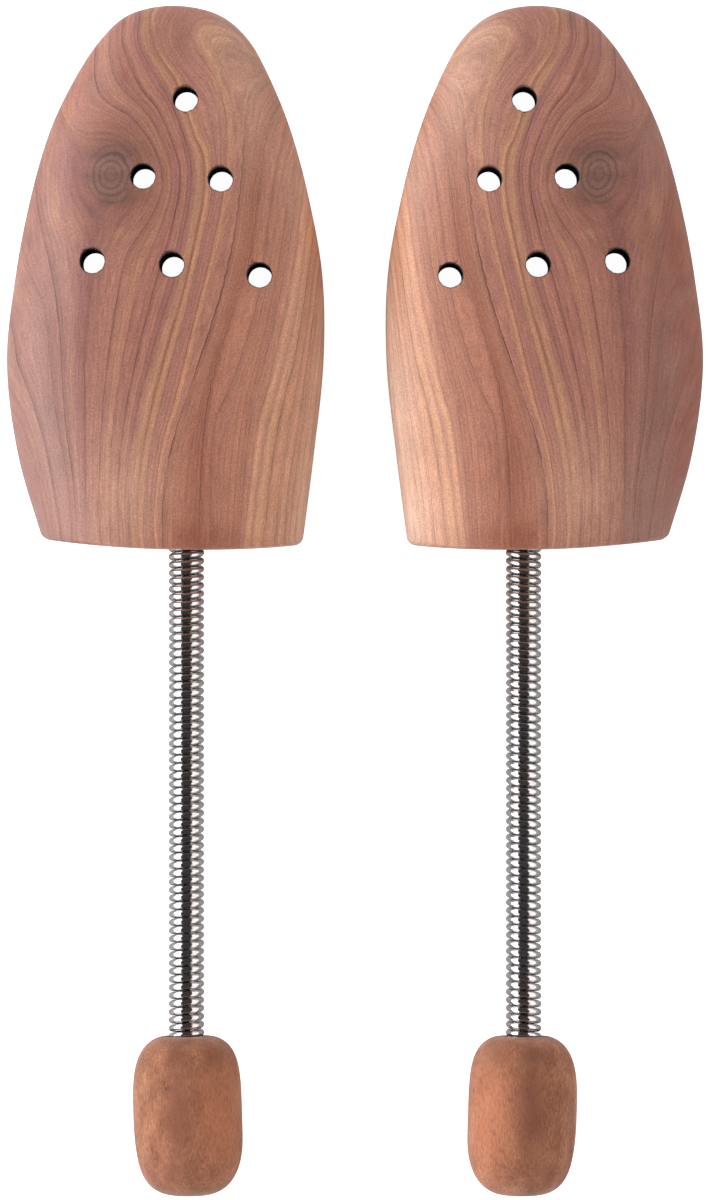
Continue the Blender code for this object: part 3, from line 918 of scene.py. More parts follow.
    def build(self) -> bpy.types.Material:
        """Make the material from the layers ring, spacing, along, depth, knot, vent and the marks."""
        material, tree = new_material(self.name)
        ring = add_node(tree, "ShaderNodeAttribute", output="Fac", attribute_name="ring")
        for width, length, reach in self.wavers:
            noise = self.grain_noise(tree, width, length, 2.0)
            waver = add_node(tree, RANGE, {0: noise, 1: 0.0, 2: 1.0, 3: -reach, 4: reach})
            ring = add_node(tree, MATH, {0: ring, 1: waver}, operation="ADD")
        colour = self.halves(tree, ring, self.first_bands, self.second_bands, "LINEAR")

        line = self.late_wood(tree, ring)
        broken = self.grain_noise(tree, self.break_width_share, self.break_length, 3.0)
        broken = add_node(tree, RANGE, {0: broken, 1: 0.3, 2: 0.62, 3: 0.45, 4: 1.0})
        line = add_node(tree, MATH, {0: line, 1: broken}, operation="MULTIPLY")
        over = {0: line, MIX_A: colour, MIX_B: linear_colour(self.line_colour)}
        colour = add_node(tree, MIX, over, output=MIX_OUT, data_type="RGBA")

        uneven = self.grain_noise(tree, self.mark_grain_width_share, self.mark_grain_length, 4.0)
        uneven = add_node(tree, RANGE, {0: uneven, 1: 0.3, 2: 0.7, 3: 0.55, 4: 1.25})
        colour = self.knot_tone(tree, lay_tones(tree, colour, uneven))

        place = add_node(tree, "ShaderNodeTexCoord", output="Object")
        fibre = self.grain_noise(tree, self.fibre_width_share, self.fibre_length, 3.0)
        streak = self.grain_noise(tree, self.streak_width_share, self.streak_length, 4.0)
        mottle = add_node(tree, NOISE, {"Vector": place, "Scale": 1.0 / self.mottle_size, "Detail": 3.0})
        speck = add_node(tree, NOISE, {"Vector": place, "Scale": 1.0 / self.speck_size, "Detail": 2.0})
        reaches = (self.fibre_reach, self.streak_reach, self.mottle_reach, self.speck_reach)
        for noise, reach in zip((fibre, streak, mottle, speck), reaches):
            part = add_node(tree, RANGE, {0: noise, 1: 0.25, 2: 0.75, 3: 1.0 - reach, 4: 1.0 + reach})
            scaled = {0: colour, "Scale": part}
            colour = add_node(tree, "ShaderNodeVectorMath", scaled, operation="SCALE")

        # Painted shade: near black down the vent walls, with the drill's scorch at their rims
        vent = add_node(tree, "ShaderNodeAttribute", output="Fac", attribute_name="vent")
        scorch_and_shade = {0: vent, 1: self.burnt_rim, 2: self.burnt_fade, 3: 1.0, 4: 0.0}
        scorch_and_shade = add_node(tree, RANGE, scorch_and_shade, interpolation_type="SMOOTHSTEP")
        over = {0: scorch_and_shade, MIX_A: colour, MIX_B: linear_colour(self.burnt_colour)}
        colour = add_node(tree, MIX, over, output=MIX_OUT, data_type="RGBA")
        smooth, dull = self.roughness - self.fibre_gloss, self.roughness + self.fibre_dullness
        rough = add_node(tree, RANGE, {0: fibre, 1: 0.2, 2: 0.8, 3: smooth, 4: dull})
        rough = add_node(tree, RANGE, {0: scorch_and_shade, 1: 0.0, 2: 1.0, 3: rough, 4: self.burnt_roughness})
        raised = add_node(tree, MATH, {0: fibre, 1: line}, operation="SUBTRACT")
        relief = {"Height": raised, "Strength": 0.5, "Distance": self.fibre_relief}
        bump = add_node(tree, "ShaderNodeBump", relief)
        shader = {
            "Base Color": colour,
            "Roughness": rough,
            "Normal": bump,
            "IOR": 1.5,
            "Sheen Weight": self.fuzz_weight,
            "Sheen Roughness": self.fuzz_roughness,
        }
        surface = add_node(tree, "ShaderNodeBsdfPrincipled", shader)
        add_node(tree, "ShaderNodeOutputMaterial", {"Surface": surface})
        return material


@dataclass(frozen=True)
class KnobFinish:
    """The same cedar turned on a lathe and tumbled, not sanded.

    To the eye it is browner than the block, matt and slightly woolly. Its fibres and specks are drawn
    several times as coarse as real ones, so that they show.
    """

    name: str = "rough_turned_cedar"
    colours: tuple = ((0.0, "#78442f"), (0.35, "#945d3f"), (0.62, "#a56b4c"), (1.0, "#c0855f"))
    fibre_width: float = 0.00045
    fibre_length: float = 0.0015
    patch_width: float = 0.0050
    patch_length: float = 0.0090
    speck_size: float = 0.00045
    speck_colour: str = "#54301f"
    roughness: float = 0.86
    fuzz_weight: float = 0.25
    fuzz_roughness: float = 0.5
    relief: float = 0.00016

    def build(self) -> bpy.types.Material:
        """Make the material: fibres and patches are noise drawn out along the knob's axis."""
        material, tree = new_material(self.name)
        place = add_node(tree, "ShaderNodeTexCoord", output="Object")
        layers = []
        for width, length, detail in (
            (self.fibre_width, self.fibre_length, 4.0),
            (self.patch_width, self.patch_length, 3.0),
            (self.speck_size, self.speck_size, 2.0),
        ):
            stretch = {0: place, 1: (1.0 / width, 1.0 / length, 1.0 / width)}
            drawn = add_node(tree, "ShaderNodeVectorMath", stretch, operation="MULTIPLY")
            layers.append(add_node(tree, NOISE, {"Vector": drawn, "Scale": 1.0, "Detail": detail}))
        fibre, patch, speck = layers
        half = add_node(tree, MATH, {0: fibre, 1: patch}, operation="ADD")
        both = add_node(tree, RANGE, {0: half, 1: 0.68, 2: 1.32, 3: 0.0, 4: 1.0})
        colour = add_node(tree, RAMP, {0: both}, stops=self.colours)
        dots = add_node(tree, RANGE, {0: speck, 1: 0.56, 2: 0.72, 3: 0.0, 4: 0.6})
        over = {0: dots, MIX_A: colour, MIX_B: linear_colour(self.speck_colour)}
        colour = add_node(tree, MIX, over, output=MIX_OUT, data_type="RGBA")
        uneven = add_node(tree, RANGE, {0: fibre, 1: 0.3, 2: 0.7, 3: 0.6, 4: 1.3})
        colour = lay_tones(tree, colour, uneven)
        raised = add_node(tree, MATH, {0: fibre, 1: speck}, operation="ADD")
        relief = {"Height": raised, "Strength": 0.8, "Distance": self.relief}
        bump = add_node(tree, "ShaderNodeBump", relief)
        shader = {
            "Base Color": colour,
            "Roughness": self.roughness,
            "Normal": bump,
            "IOR": 1.5,
            "Sheen Weight": self.fuzz_weight,
            "Sheen Roughness": self.fuzz_roughness,
        }
        surface = add_node(tree, "ShaderNodeBsdfPrincipled", shader)
        add_node(tree, "ShaderNodeOutputMaterial", {"Surface": surface})
        return material


@dataclass(frozen=True)
class MetalFinish:
    """A smooth metal wire or nail: to the eye a clear mirror, whose gloss varies a little along it."""

    name: str
    colour: str
    worn_colour: str
    roughness: float
    worn_roughness: float
    wear_size: float
    relief: float

    def build(self) -> bpy.types.Material:
        """Make the material: fine noise mixes a bright and a slightly duller metal."""
        material, tree = new_material(self.name)
        place = add_node(tree, "ShaderNodeTexCoord", output="Object")
        wear = add_node(tree, NOISE, {"Vector": place, "Scale": 1.0 / self.wear_size, "Detail": 4.0})
        worn = add_node(tree, RANGE, {0: wear, 1: 0.42, 2: 0.68, 3: 0.0, 4: 1.0})
        over = {0: worn, MIX_A: linear_colour(self.colour), MIX_B: linear_colour(self.worn_colour)}
        colour = add_node(tree, MIX, over, output=MIX_OUT, data_type="RGBA")
        rough = {0: worn, 1: 0.0, 2: 1.0, 3: self.roughness, 4: self.worn_roughness}
        rough = add_node(tree, RANGE, rough)
        relief = {"Height": wear, "Strength": 0.3, "Distance": self.relief}
        bump = add_node(tree, "ShaderNodeBump", relief)
        shader = {"Base Color": colour, "Roughness": rough, "Normal": bump, "Metallic": 1.0}
        surface = add_node(tree, "ShaderNodeBsdfPrincipled", shader)
        add_node(tree, "ShaderNodeOutputMaterial", {"Surface": surface})
        return material


@dataclass(frozen=True)
class DowelFinish:
    """A birch dowel, sawn square: to the eye pale and matt, with fine straight fibres along it."""

    name: str = "sawn_birch_dowel"
    colours: tuple = ((0.0, "#b08a63"), (0.5, "#c9a67e"), (1.0, "#dcbf99"))
    fibre_width: float = 0.0003
    fibre_length: float = 0.0040
    roughness: float = 0.6
    relief: float = 0.00005

    def build(self) -> bpy.types.Material:
        """Make the material: noise drawn out along the dowel."""
        material, tree = new_material(self.name)
        place = add_node(tree, "ShaderNodeTexCoord", output="Object")
        width = 1.0 / self.fibre_width
        stretch = {0: place, 1: (width, 1.0 / self.fibre_length, width)}
        drawn = add_node(tree, "ShaderNodeVectorMath", stretch, operation="MULTIPLY")
        fibre = add_node(tree, NOISE, {"Vector": drawn, "Scale": 1.0, "Detail": 3.0})
        spread = add_node(tree, RANGE, {0: fibre, 1: 0.3, 2: 0.7, 3: 0.0, 4: 1.0})
        colour = add_node(tree, RAMP, {0: spread}, stops=self.colours)
        relief = {"Height": fibre, "Strength": 0.5, "Distance": self.relief}
        bump = add_node(tree, "ShaderNodeBump", relief)
        shader = {"Base Color": colour, "Roughness": self.roughness, "Normal": bump, "IOR": 1.5}
        surface = add_node(tree, "ShaderNodeBsdfPrincipled", shader)
        add_node(tree, "ShaderNodeOutputMaterial", {"Surface": surface})
        return material


@dataclass
class ToeBlock:
    """The cedar toe block with its vent holes and the socket for the spring."""

    shape: BlockShape = field(default_factory=BlockShape)
    rings: GrowthRings = field(default_factory=GrowthRings)
    finish: CedarFinish = field(default_factory=CedarFinish)
    stations: int = 236
    crown_steps: int = 190
    read_steps: int = 4000
    side_steps: int = 26
    sole_steps: int = 44
    edge_rings: int = 14
    face_rings: int = 24
    socket_depth: float = 0.0140
    socket_radius: float = 0.00508
    socket_lip: float = 0.0002
    vent_radius: float = 0.003175
    vent_points: int = 72
    vent_tear_depth: float = 0.0030
    vent_rag: float = 0.00017
    vent_overrun: float = 0.0040
    vent_drop_shares: tuple[float, ...] = (1.0, 0.6, 0.3, 0.12, 0.0, -1.0)
    vents: tuple[Vent, ...] = (
        Vent(0.178, 0.001, 0.00085, ((178.0, 9.0, 0.00060),)),
        Vent(0.320, 0.133, 0.00035),
        Vent(0.325, -0.109, 0.00070),
        Vent(0.475, 0.290, 0.00055, ((40.0, 7.0, 0.0005), (-35.0, 6.0, 0.0005), (180.0, 8.0, 0.0003))),
        Vent(0.482, 0.042, 0.00080, ((155.0, 12.0, 0.00045),)),
        Vent(0.501, -0.231, 0.00040, ((28.0, 5.0, 0.00150), (-48.0, 9.0, 0.00050))),
    )
    knot_px: tuple[float, float] = (111.0, 174.0)
    knot_size_px: tuple[float, float] = (27.5, 32.0)
    knot_depth: float = 0.0100
    ring_depth: float = 0.0040
    side_ring_depth: float = 0.0030
    side_ease: float = 0.0040
    side_start_share: float = 0.50
    marks: tuple[Mark, ...] = (
        # Towards the toe
        Mark(222, 34, 30, 24, Tone.CREAM, 0.22),
        Mark(155, 38, 9, 22, Tone.ROSE, 0.80),
        Mark(168, 40, 6, 14, Tone.TAN, 0.35),
        Mark(181, 45, 10, 20, Tone.PURPLE, 0.40),
        Mark(117, 52, 9, 22, Tone.RED, 0.20),
        Mark(218, 62, 6, 28, Tone.TAN, 0.55),
        Mark(232, 66, 26, 34, Tone.PALE, 0.30),
        Mark(124, 77, 5, 10, Tone.RED, 0.45),
        Mark(252, 104, 36, 70, Tone.PALE, 0.55),
        Mark(85, 108, 20, 42, Tone.RED, 0.28),
        # Round the knot
        Mark(66, 122, 6, 32, Tone.TAN, 0.25),
        Mark(120, 128, 16, 8, Tone.RED, 0.30),
        Mark(110, 150, 24, 11, Tone.DARK, 0.42),
        Mark(130, 170, 40, 72, Tone.DARK, 0.34),
        Mark(106, 178, 44, 50, Tone.RED, 0.30),
        Mark(84, 180, 7, 22, Tone.PURPLE, 0.35),
        Mark(127, 188, 7, 16, Tone.DARK, 0.35),
        Mark(112, 201, 15, 5, Tone.DARK, 0.55),
        Mark(55, 205, 6, 20, Tone.TAN, 0.30),
        Mark(96, 215, 16, 12, Tone.PURPLE, 0.55),
        Mark(75, 224, 9, 22, Tone.TAN, 0.30),
        Mark(121, 233, 7, 5, Tone.TAN, 0.55),
        # Along the middle
        Mark(300, 165, 13, 48, Tone.CREAM, 0.30),
        Mark(91, 262, 5, 26, Tone.PURPLE, 0.45),
        Mark(165, 310, 50, 90, Tone.RED, 0.12),
        Mark(87, 315, 6, 34, Tone.PURPLE, 0.35),
        Mark(247, 405, 12, 9, Tone.RED, 0.12),
        # Towards the rear
        Mark(205, 475, 22, 62, Tone.RED, 0.38),
        Mark(122, 490, 42, 66, Tone.PALE, 0.52),
        Mark(71, 500, 4, 27, Tone.RED, 0.40),
        Mark(181, 534, 17, 13, Tone.RED, 0.45),
        Mark(200, 538, 34, 18, Tone.RED, 0.45),
        Mark(230, 545, 90, 12, Tone.RED, 0.25),
        # A tiny dark pin knot
        Mark(178, 164, 1.6, 1.8, Tone.DARK, 0.9),
    )
    # Painted light and shade on the right tree: red shade along its outer side, cream light along its inner
    # side
    right_marks: tuple[Mark, ...] = (
        Mark(12, 420, 52, 170, Tone.RED, 0.95),
        Mark(40, 230, 40, 80, Tone.RED, 0.70),
        Mark(318, 440, 24, 95, Tone.CREAM, 0.40),
        Mark(298, 525, 26, 40, Tone.CREAM, 0.26),
    )

    def crown_turns(self) -> np.ndarray:
        """Find angles over the crown whose points are about evenly spaced on a middle section.

        Returns:
            Angles from 0, outer side, to pi, inner side.
        """
        fine = np.linspace(0.0, math.pi, self.read_steps + 1)
        across, up = self.shape.unit_crown(fine)
        across = across * self.shape.width / 2.0
        up = up * self.shape.rear_height * (1.0 - self.shape.widest_height_share)
        run = np.concatenate(([0.0], np.cumsum(np.hypot(np.diff(across), np.diff(up)))))
        return np.interp(np.linspace(0.0, run[-1], self.crown_steps + 1), run, fine)

    def sections(self, distance: np.ndarray, place: Place) -> np.ndarray:
        """Make rings of the block.

        Each has a flat sole, quarter ellipses up to the widest height and a superellipse as its crown.

        Args:
            distance: Distances from the toe tip.
            place: The tree's place.

        Returns:
            Array of (ring, point, 3), each ring from the outer side over the crown and back by the sole.
        """
        shape = self.shape
        outer, inner, bottom, top = shape.outline(distance)
        side_inset = shape.rear_rounding(distance, shape.rear_side_round)
        top_inset = shape.rear_rounding(distance, shape.rear_top_round)
        outer, inner = outer - side_inset, inner + side_inset
        bottom, top = bottom + top_inset, top - top_inset
        middle = ((outer + inner) / 2.0)[:, None]
        half = ((outer - inner) / 2.0)[:, None]
        widest = (bottom + shape.widest_height_share * (top - bottom))[:, None]
        edge = np.minimum(shape.edge_round, shape.edge_limit_share * half)
        rise = np.linspace(-math.pi / 2.0, 0.0, self.side_steps + 1)[None, :-1]
        side_across = half - edge + edge * np.cos(rise)
        side_up = widest + (widest - bottom[:, None]) * np.sin(rise)
        turn = self.crown_turns()[None, :]
        unit_across, unit_up = shape.unit_crown(turn)
        crown_across = half * unit_across
        crown_up = widest + (top[:, None] - widest) * unit_up
        sole_share = np.linspace(-1.0, 1.0, self.sole_steps + 1)[None, 1:-1]
        sole_across = (half - edge) * sole_share
        sole_up = bottom[:, None] + np.zeros_like(sole_across)
        across = middle + np.hstack((side_across, crown_across, -side_across[:, ::-1], sole_across))
        up = np.hstack((side_up, crown_up, side_up[:, ::-1], sole_up))
        y = place.toe_y - distance[:, None] + shape.rear_bow(distance[:, None], across)
        return np.stack((across, y, up), axis=2)

    def surface(self, place: Place) -> tuple[np.ndarray, list]:
        """Make the whole block as one surface from the toe tip to the bottom of the spring's socket.

        Args:
            place: The tree's place.

        Returns:
            Points in the tree's frame, and faces.
        """
        shape = self.shape
        turn = np.arange(1, self.stations + 1) / (self.stations + 1) * math.pi / 2.0
        before_edge = shape.length - shape.rear_side_round
        distance = (1.0 - np.cos(turn)) * before_edge
        edge_turn = np.linspace(0.0, math.pi / 2.0, self.edge_rings)
        edge_distance = before_edge + shape.rear_side_round * np.sin(edge_turn)
        rings = self.sections(np.concatenate((distance, edge_distance)), place)
        rim = rings[-1]
        bearing = np.arctan2(rim[:, 2] - place.axis_z, rim[:, 0])
        circle = np.stack((np.cos(bearing), np.zeros_like(bearing), np.sin(bearing)), axis=1)
        axis = np.array((0.0, 0.0, place.axis_z))
        mouth = axis + circle * (self.socket_radius + self.socket_lip)
        shares = np.linspace(0.0, 1.0, self.face_rings + 1)[1:, None, None]
        face = rim * (1.0 - shares) + mouth * shares
        face[:, :, 1] = place.toe_y - shape.length + shape.rear_bow(shape.length, face[:, :, 0])
        inside = []
        bottom_y = place.rear_y + self.socket_depth
        for radius, y in (
            (self.socket_radius, place.rear_y + self.socket_lip),
            (self.socket_radius, (place.rear_y + bottom_y) / 2.0),
            (self.socket_radius, bottom_y),
            (self.socket_radius / 2.0, bottom_y),
        ):
            inside.append(axis + circle * radius + np.array((0.0, y, 0.0)))
        tip = np.array((shape.width * shape.outer_shares[0], place.toe_y, shape.nose_height))
        socket_end = np.array((0.0, bottom_y, place.axis_z))
        return loft(tip, np.concatenate((rings, face, np.array(inside))), socket_end)

    def vent_surface(self, vent: Vent, number: int, place: Place) -> tuple[np.ndarray, list]:
        """Make a drill's path that widens and frays where it meets the crown.

        Near the crown its radius is the drill's, plus a tear towards the toe, plus a fray made of
        sines round the rim, plus bell shaped nicks.

        Args:
            vent: The vent hole.
            number: Its number, which seeds the fray.
            place: The tree's place.

        Returns:
            Points in the tree's frame, and faces.
        """
        shape = self.shape
        u = shape.width * vent.width_share
        distance = shape.length * vent.length_share
        bearing = np.arange(self.vent_points) / self.vent_points * FULL_TURN
        toward_toe, outward = np.cos(bearing), np.sin(bearing)
        rim = u + outward * self.vent_radius
        crown = shape.crown_height(rim, distance - toward_toe * self.vent_radius)
        random = np.random.default_rng(number)
        waves = np.arange(3, 24)
        phases = random.uniform(0.0, FULL_TURN, len(waves))
        fray = (np.sin(bearing[:, None] * waves + phases) / np.sqrt(waves)).sum(axis=1) * self.vent_rag
        nicks = np.zeros_like(bearing)
        for at_degrees, wide_degrees, length in vent.chips:
            apart = np.degrees(np.angle(np.exp(1j * (bearing - math.radians(at_degrees)))))
            nicks += length * np.exp(-((apart / wide_degrees) ** 2))
        torn = vent.tear * toward_toe.clip(0.0) ** 1.5 + np.abs(fray)
        levels = [(1.0, np.full_like(crown, -self.vent_overrun))]
        levels += [(share, crown - share * self.vent_tear_depth) for share in self.vent_drop_shares]
        rings = []
        for drop_share, up in levels:
            near = max(0.0, 1.0 - max(drop_share, 0.0)) ** 2
            nicked = max(0.0, 1.0 - 3.0 * max(drop_share, 0.0))
            radius = self.vent_radius + torn * near + nicks * nicked
            y = place.toe_y - distance + toward_toe * radius
            rings.append(np.stack((u + outward * radius, y, up), axis=1))
        rings = np.array(rings)
        return loft(rings[0].mean(axis=0), rings, rings[-1].mean(axis=0))

    def layers(self, mesh: bpy.types.Mesh, place: Place, marks: tuple[Mark, ...]) -> None:
        """Work out what the finish reads, from where each point lies in the wood.

        The ring number on the crown is the field's. Below the crown it falls with depth, and it falls
        faster down the sides, so that the sides, the sole and the rear show rings of their own.

        Args:
            mesh: The block's mesh in the world.
            place: The tree's place.
            marks: The marks of its wood, with any painted light and shade of that tree.
        """
        points = place.from_world(mesh_points(mesh))
        distance = place.toe_y - points[:, 1]
        distance = distance + self.shape.rear_bow(distance, points[:, 0])
        crown = self.shape.crown_height(points[:, 0], distance)
        _, _, bottom, top = self.shape.outline(distance)
        depth = np.maximum(0.0, crown - points[:, 2])
        side_start = bottom + self.side_start_share * (top - bottom)
        down_side = np.maximum(0.0, side_start - points[:, 2])
        seen = place.in_picture(np.stack((points[:, 0], points[:, 1], crown), axis=1))
        sheet = self.rings.sheet()
        eased = down_side**2 / (down_side + self.side_ease)
        ring = self.rings.at(sheet, seen) - depth / self.ring_depth - eased / self.side_ring_depth
        store(mesh, "ring", ring)
        store(mesh, "spacing", self.rings.spacing(sheet, seen))
        store(mesh, "along", distance)
        store(mesh, "depth", depth)
        off = (seen - np.array(self.knot_px)) / np.array(self.knot_size_px)
        store(mesh, "knot", np.hypot(off[:, 0], off[:, 1]) + depth / self.knot_depth)
        vent = np.full(len(points), self.shape.length)
        for hole in self.vents:
            u = self.shape.width * hole.width_share
            y = place.toe_y - self.shape.length * hole.length_share
            vent = np.minimum(vent, np.hypot(points[:, 0] - u, points[:, 1] - y))
        store(mesh, "vent", vent - self.vent_radius)
        store_marks(mesh, marks, seen)

    def build(self, places: dict[Side, Place]) -> dict[Side, bpy.types.Object]:
        """Make the left block, and the right one as its mirror image.

        Args:
            places: The place of each tree.

        Returns:
            The piece of each side.
        """
        place = places[Side.LEFT]
        points, faces = self.surface(place)
        mesh = new_mesh("left_cedar_toe_block", place.in_world(points), faces)
        cutters = []
        for number, vent in enumerate(self.vents):
            tool_points, tool_faces = self.vent_surface(vent, number, place)
            cutters.append(new_mesh(f"vent_{number}", place.in_world(tool_points), tool_faces))
        cutters.append(brad_hole("left_toe_brad", place.axis_z))
        mesh = cut_out(mesh, cutters)
        self.layers(mesh, place, self.marks)
        mesh.set_sharp_from_angle(angle=math.radians(50.0))
        mirrored = mesh.copy()
        flat = mesh_points(mesh)
        flat[:, 0] *= -1.0
        mirrored.vertices.foreach_set("co", flat.astype(np.float32).ravel())
        mirrored.flip_normals()
        mirrored.update()
        self.layers(mirrored, places[Side.RIGHT], self.marks + self.right_marks)
        return {
            Side.LEFT: show("left_cedar_toe_block", mesh),
            Side.RIGHT: show("right_cedar_toe_block", mirrored),
        }

    def dress(self, pieces: dict[Side, bpy.types.Object]) -> None:
        """Give both blocks the cedar finish and let them ride on their toe ends."""
        cedar = self.finish.build()
        for side, piece in pieces.items():
            piece.data.materials.clear()
            piece.data.materials.append(cedar)
            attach(piece, f"{side.label}_toe_end")
            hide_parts(f"{side.label}_toe_block")
            LOG.info("%s: %d faces", piece.name, len(piece.data.polygons))


def brad_hole(node: str, top: float) -> bpy.types.Mesh:
    """Make the hole for a brad, from below its head to the spring's axis.

    Args:
        node: The brad's node, whose box gives the place and the width of its head.
        top: Height of the hole's end.

    Returns:
        A closed cutter in the world.
    """
    low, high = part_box(node)
    clearance = 0.3 * MM
    head_height = 0.6 * MM
    overrun = 4.0 * MM
    shank_share = 0.6
    sides = 32
    head = (high.y - low.y) / 2.0 + clearance
    shank = (high.y - low.y) / 2.0 * shank_share + clearance
    shoulder = low.z + head_height + clearance
    bearing = np.arange(sides) / sides * FULL_TURN
    middle = np.array(((low.x + high.x) / 2.0, (low.y + high.y) / 2.0, 0.0))
    rings = []
    for radius, up in ((head, low.z - overrun), (head, shoulder), (shank, shoulder), (shank, top)):
        ring = np.stack((np.cos(bearing) * radius, np.sin(bearing) * radius, np.full(sides, up)), axis=1)
        rings.append(middle + ring)
    rings = np.array(rings)
    points, faces = loft(rings[0].mean(axis=0), rings, rings[-1].mean(axis=0))
    return new_mesh(f"{node}_hole", points, faces)


@dataclass
class CoilSpring:
    """The open coil spring of chromed wire, made as two pieces that meet where the bend ends."""

    wire_radius: float = 0.00096
    outer_radius: float = 0.0047625
    pitch: float = 0.00215
    toe_depth: float = 0.0137
    heel_depth: float = 0.0117
    bend_stretch: float = 0.0600
    points_per_turn: int = 30
    wire_sides: int = 14
    finish: MetalFinish = MetalFinish(
        "bright_chrome_plated_wire", "#cdcdcf", "#c0bfbe", 0.08, 0.16, 0.0012, 0.00001
    )

    def wire(
        self, start_y: float, end_y: float, first_y: float, axis_z: float
    ) -> tuple[np.ndarray, list]:
        """Make a stretch of the wire: a circle carried along a helix, closed at both ends.

        A point of the helix turns once for each pitch that it moves along the spring's axis.

        Args:
            start_y: Where the stretch starts, nearer to the toe.
            end_y: Where it ends.
            first_y: Where the whole coil starts, from which its turns are counted.
            axis_z: Height of the spring's axis.

        Returns:
            Points in the tree's frame, and faces.
        """
        turns = (start_y - end_y) / self.pitch
        y = np.linspace(start_y, end_y, int(turns * self.points_per_turn) + 1)
        angle = (first_y - y) / self.pitch * FULL_TURN
        outward = np.stack((np.sin(angle), np.zeros_like(angle), np.cos(angle)), axis=1)
        sideways = np.stack((np.cos(angle), np.zeros_like(angle), -np.sin(angle)), axis=1)
        climb = self.pitch / FULL_TURN
        helix_radius = self.outer_radius - self.wire_radius
        tangent = sideways * helix_radius - np.array((0.0, climb, 0.0))
        tangent /= np.linalg.norm(tangent, axis=1)[:, None]
        across = np.cross(tangent, outward)
        middle = outward * helix_radius
        middle[:, 1] = y
        middle[:, 2] += axis_z
        bearing = np.arange(self.wire_sides) / self.wire_sides * FULL_TURN
        circle = outward[:, None, :] * np.cos(bearing)[None, :, None]
        circle = circle + across[:, None, :] * np.sin(bearing)[None, :, None]
        rings = middle[:, None, :] + circle * self.wire_radius
        return loft(middle[0], rings, middle[-1])

    def build(self, place: Place) -> dict[Stretch, bpy.types.Object]:
        """Make the two stretches of one tree's spring.

        Args:
            place: The tree's place.

        Returns:
            The piece of each stretch.
        """
        first = place.rear_y + self.toe_depth
        split = place.rear_y - self.bend_stretch
        last = place.knob_front_y - self.heel_depth
        pieces = {}
        for part, start, end in ((Stretch.FRONT, first, split), (Stretch.REAR, split, last)):
            points, faces = self.wire(start, end, first, place.axis_z)
            name = f"{place.side.label}_{part.value}_coil"
            pieces[part] = show(name, new_mesh(name, place.in_world(points), faces))
        return pieces

    def dress(
        self,
        pieces: dict[Stretch, bpy.types.Object],
        place: Place,
        chrome: bpy.types.Material,
    ) -> None:
        """Chrome the coil, bake each stretch's place into its mesh and hide the frame's spring.

        Args:
            pieces: The two stretches.
            place: The tree's place.
            chrome: The finish.
        """
        label = place.side.label
        split = place.rear_y - self.bend_stretch
        spans = {
            Stretch.FRONT: ("toe_end", "coil", place.rear_y, split),
            Stretch.REAR: ("coil", "heel_end", split, place.knob_front_y - self.heel_depth),
        }
        for part, (before, after, start, end) in spans.items():
            piece = pieces[part]
            piece.data.materials.append(chrome)
            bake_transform(piece)
            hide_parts(f"{label}_spring")
            LOG.info("%s: %d faces", piece.name, len(piece.data.polygons))


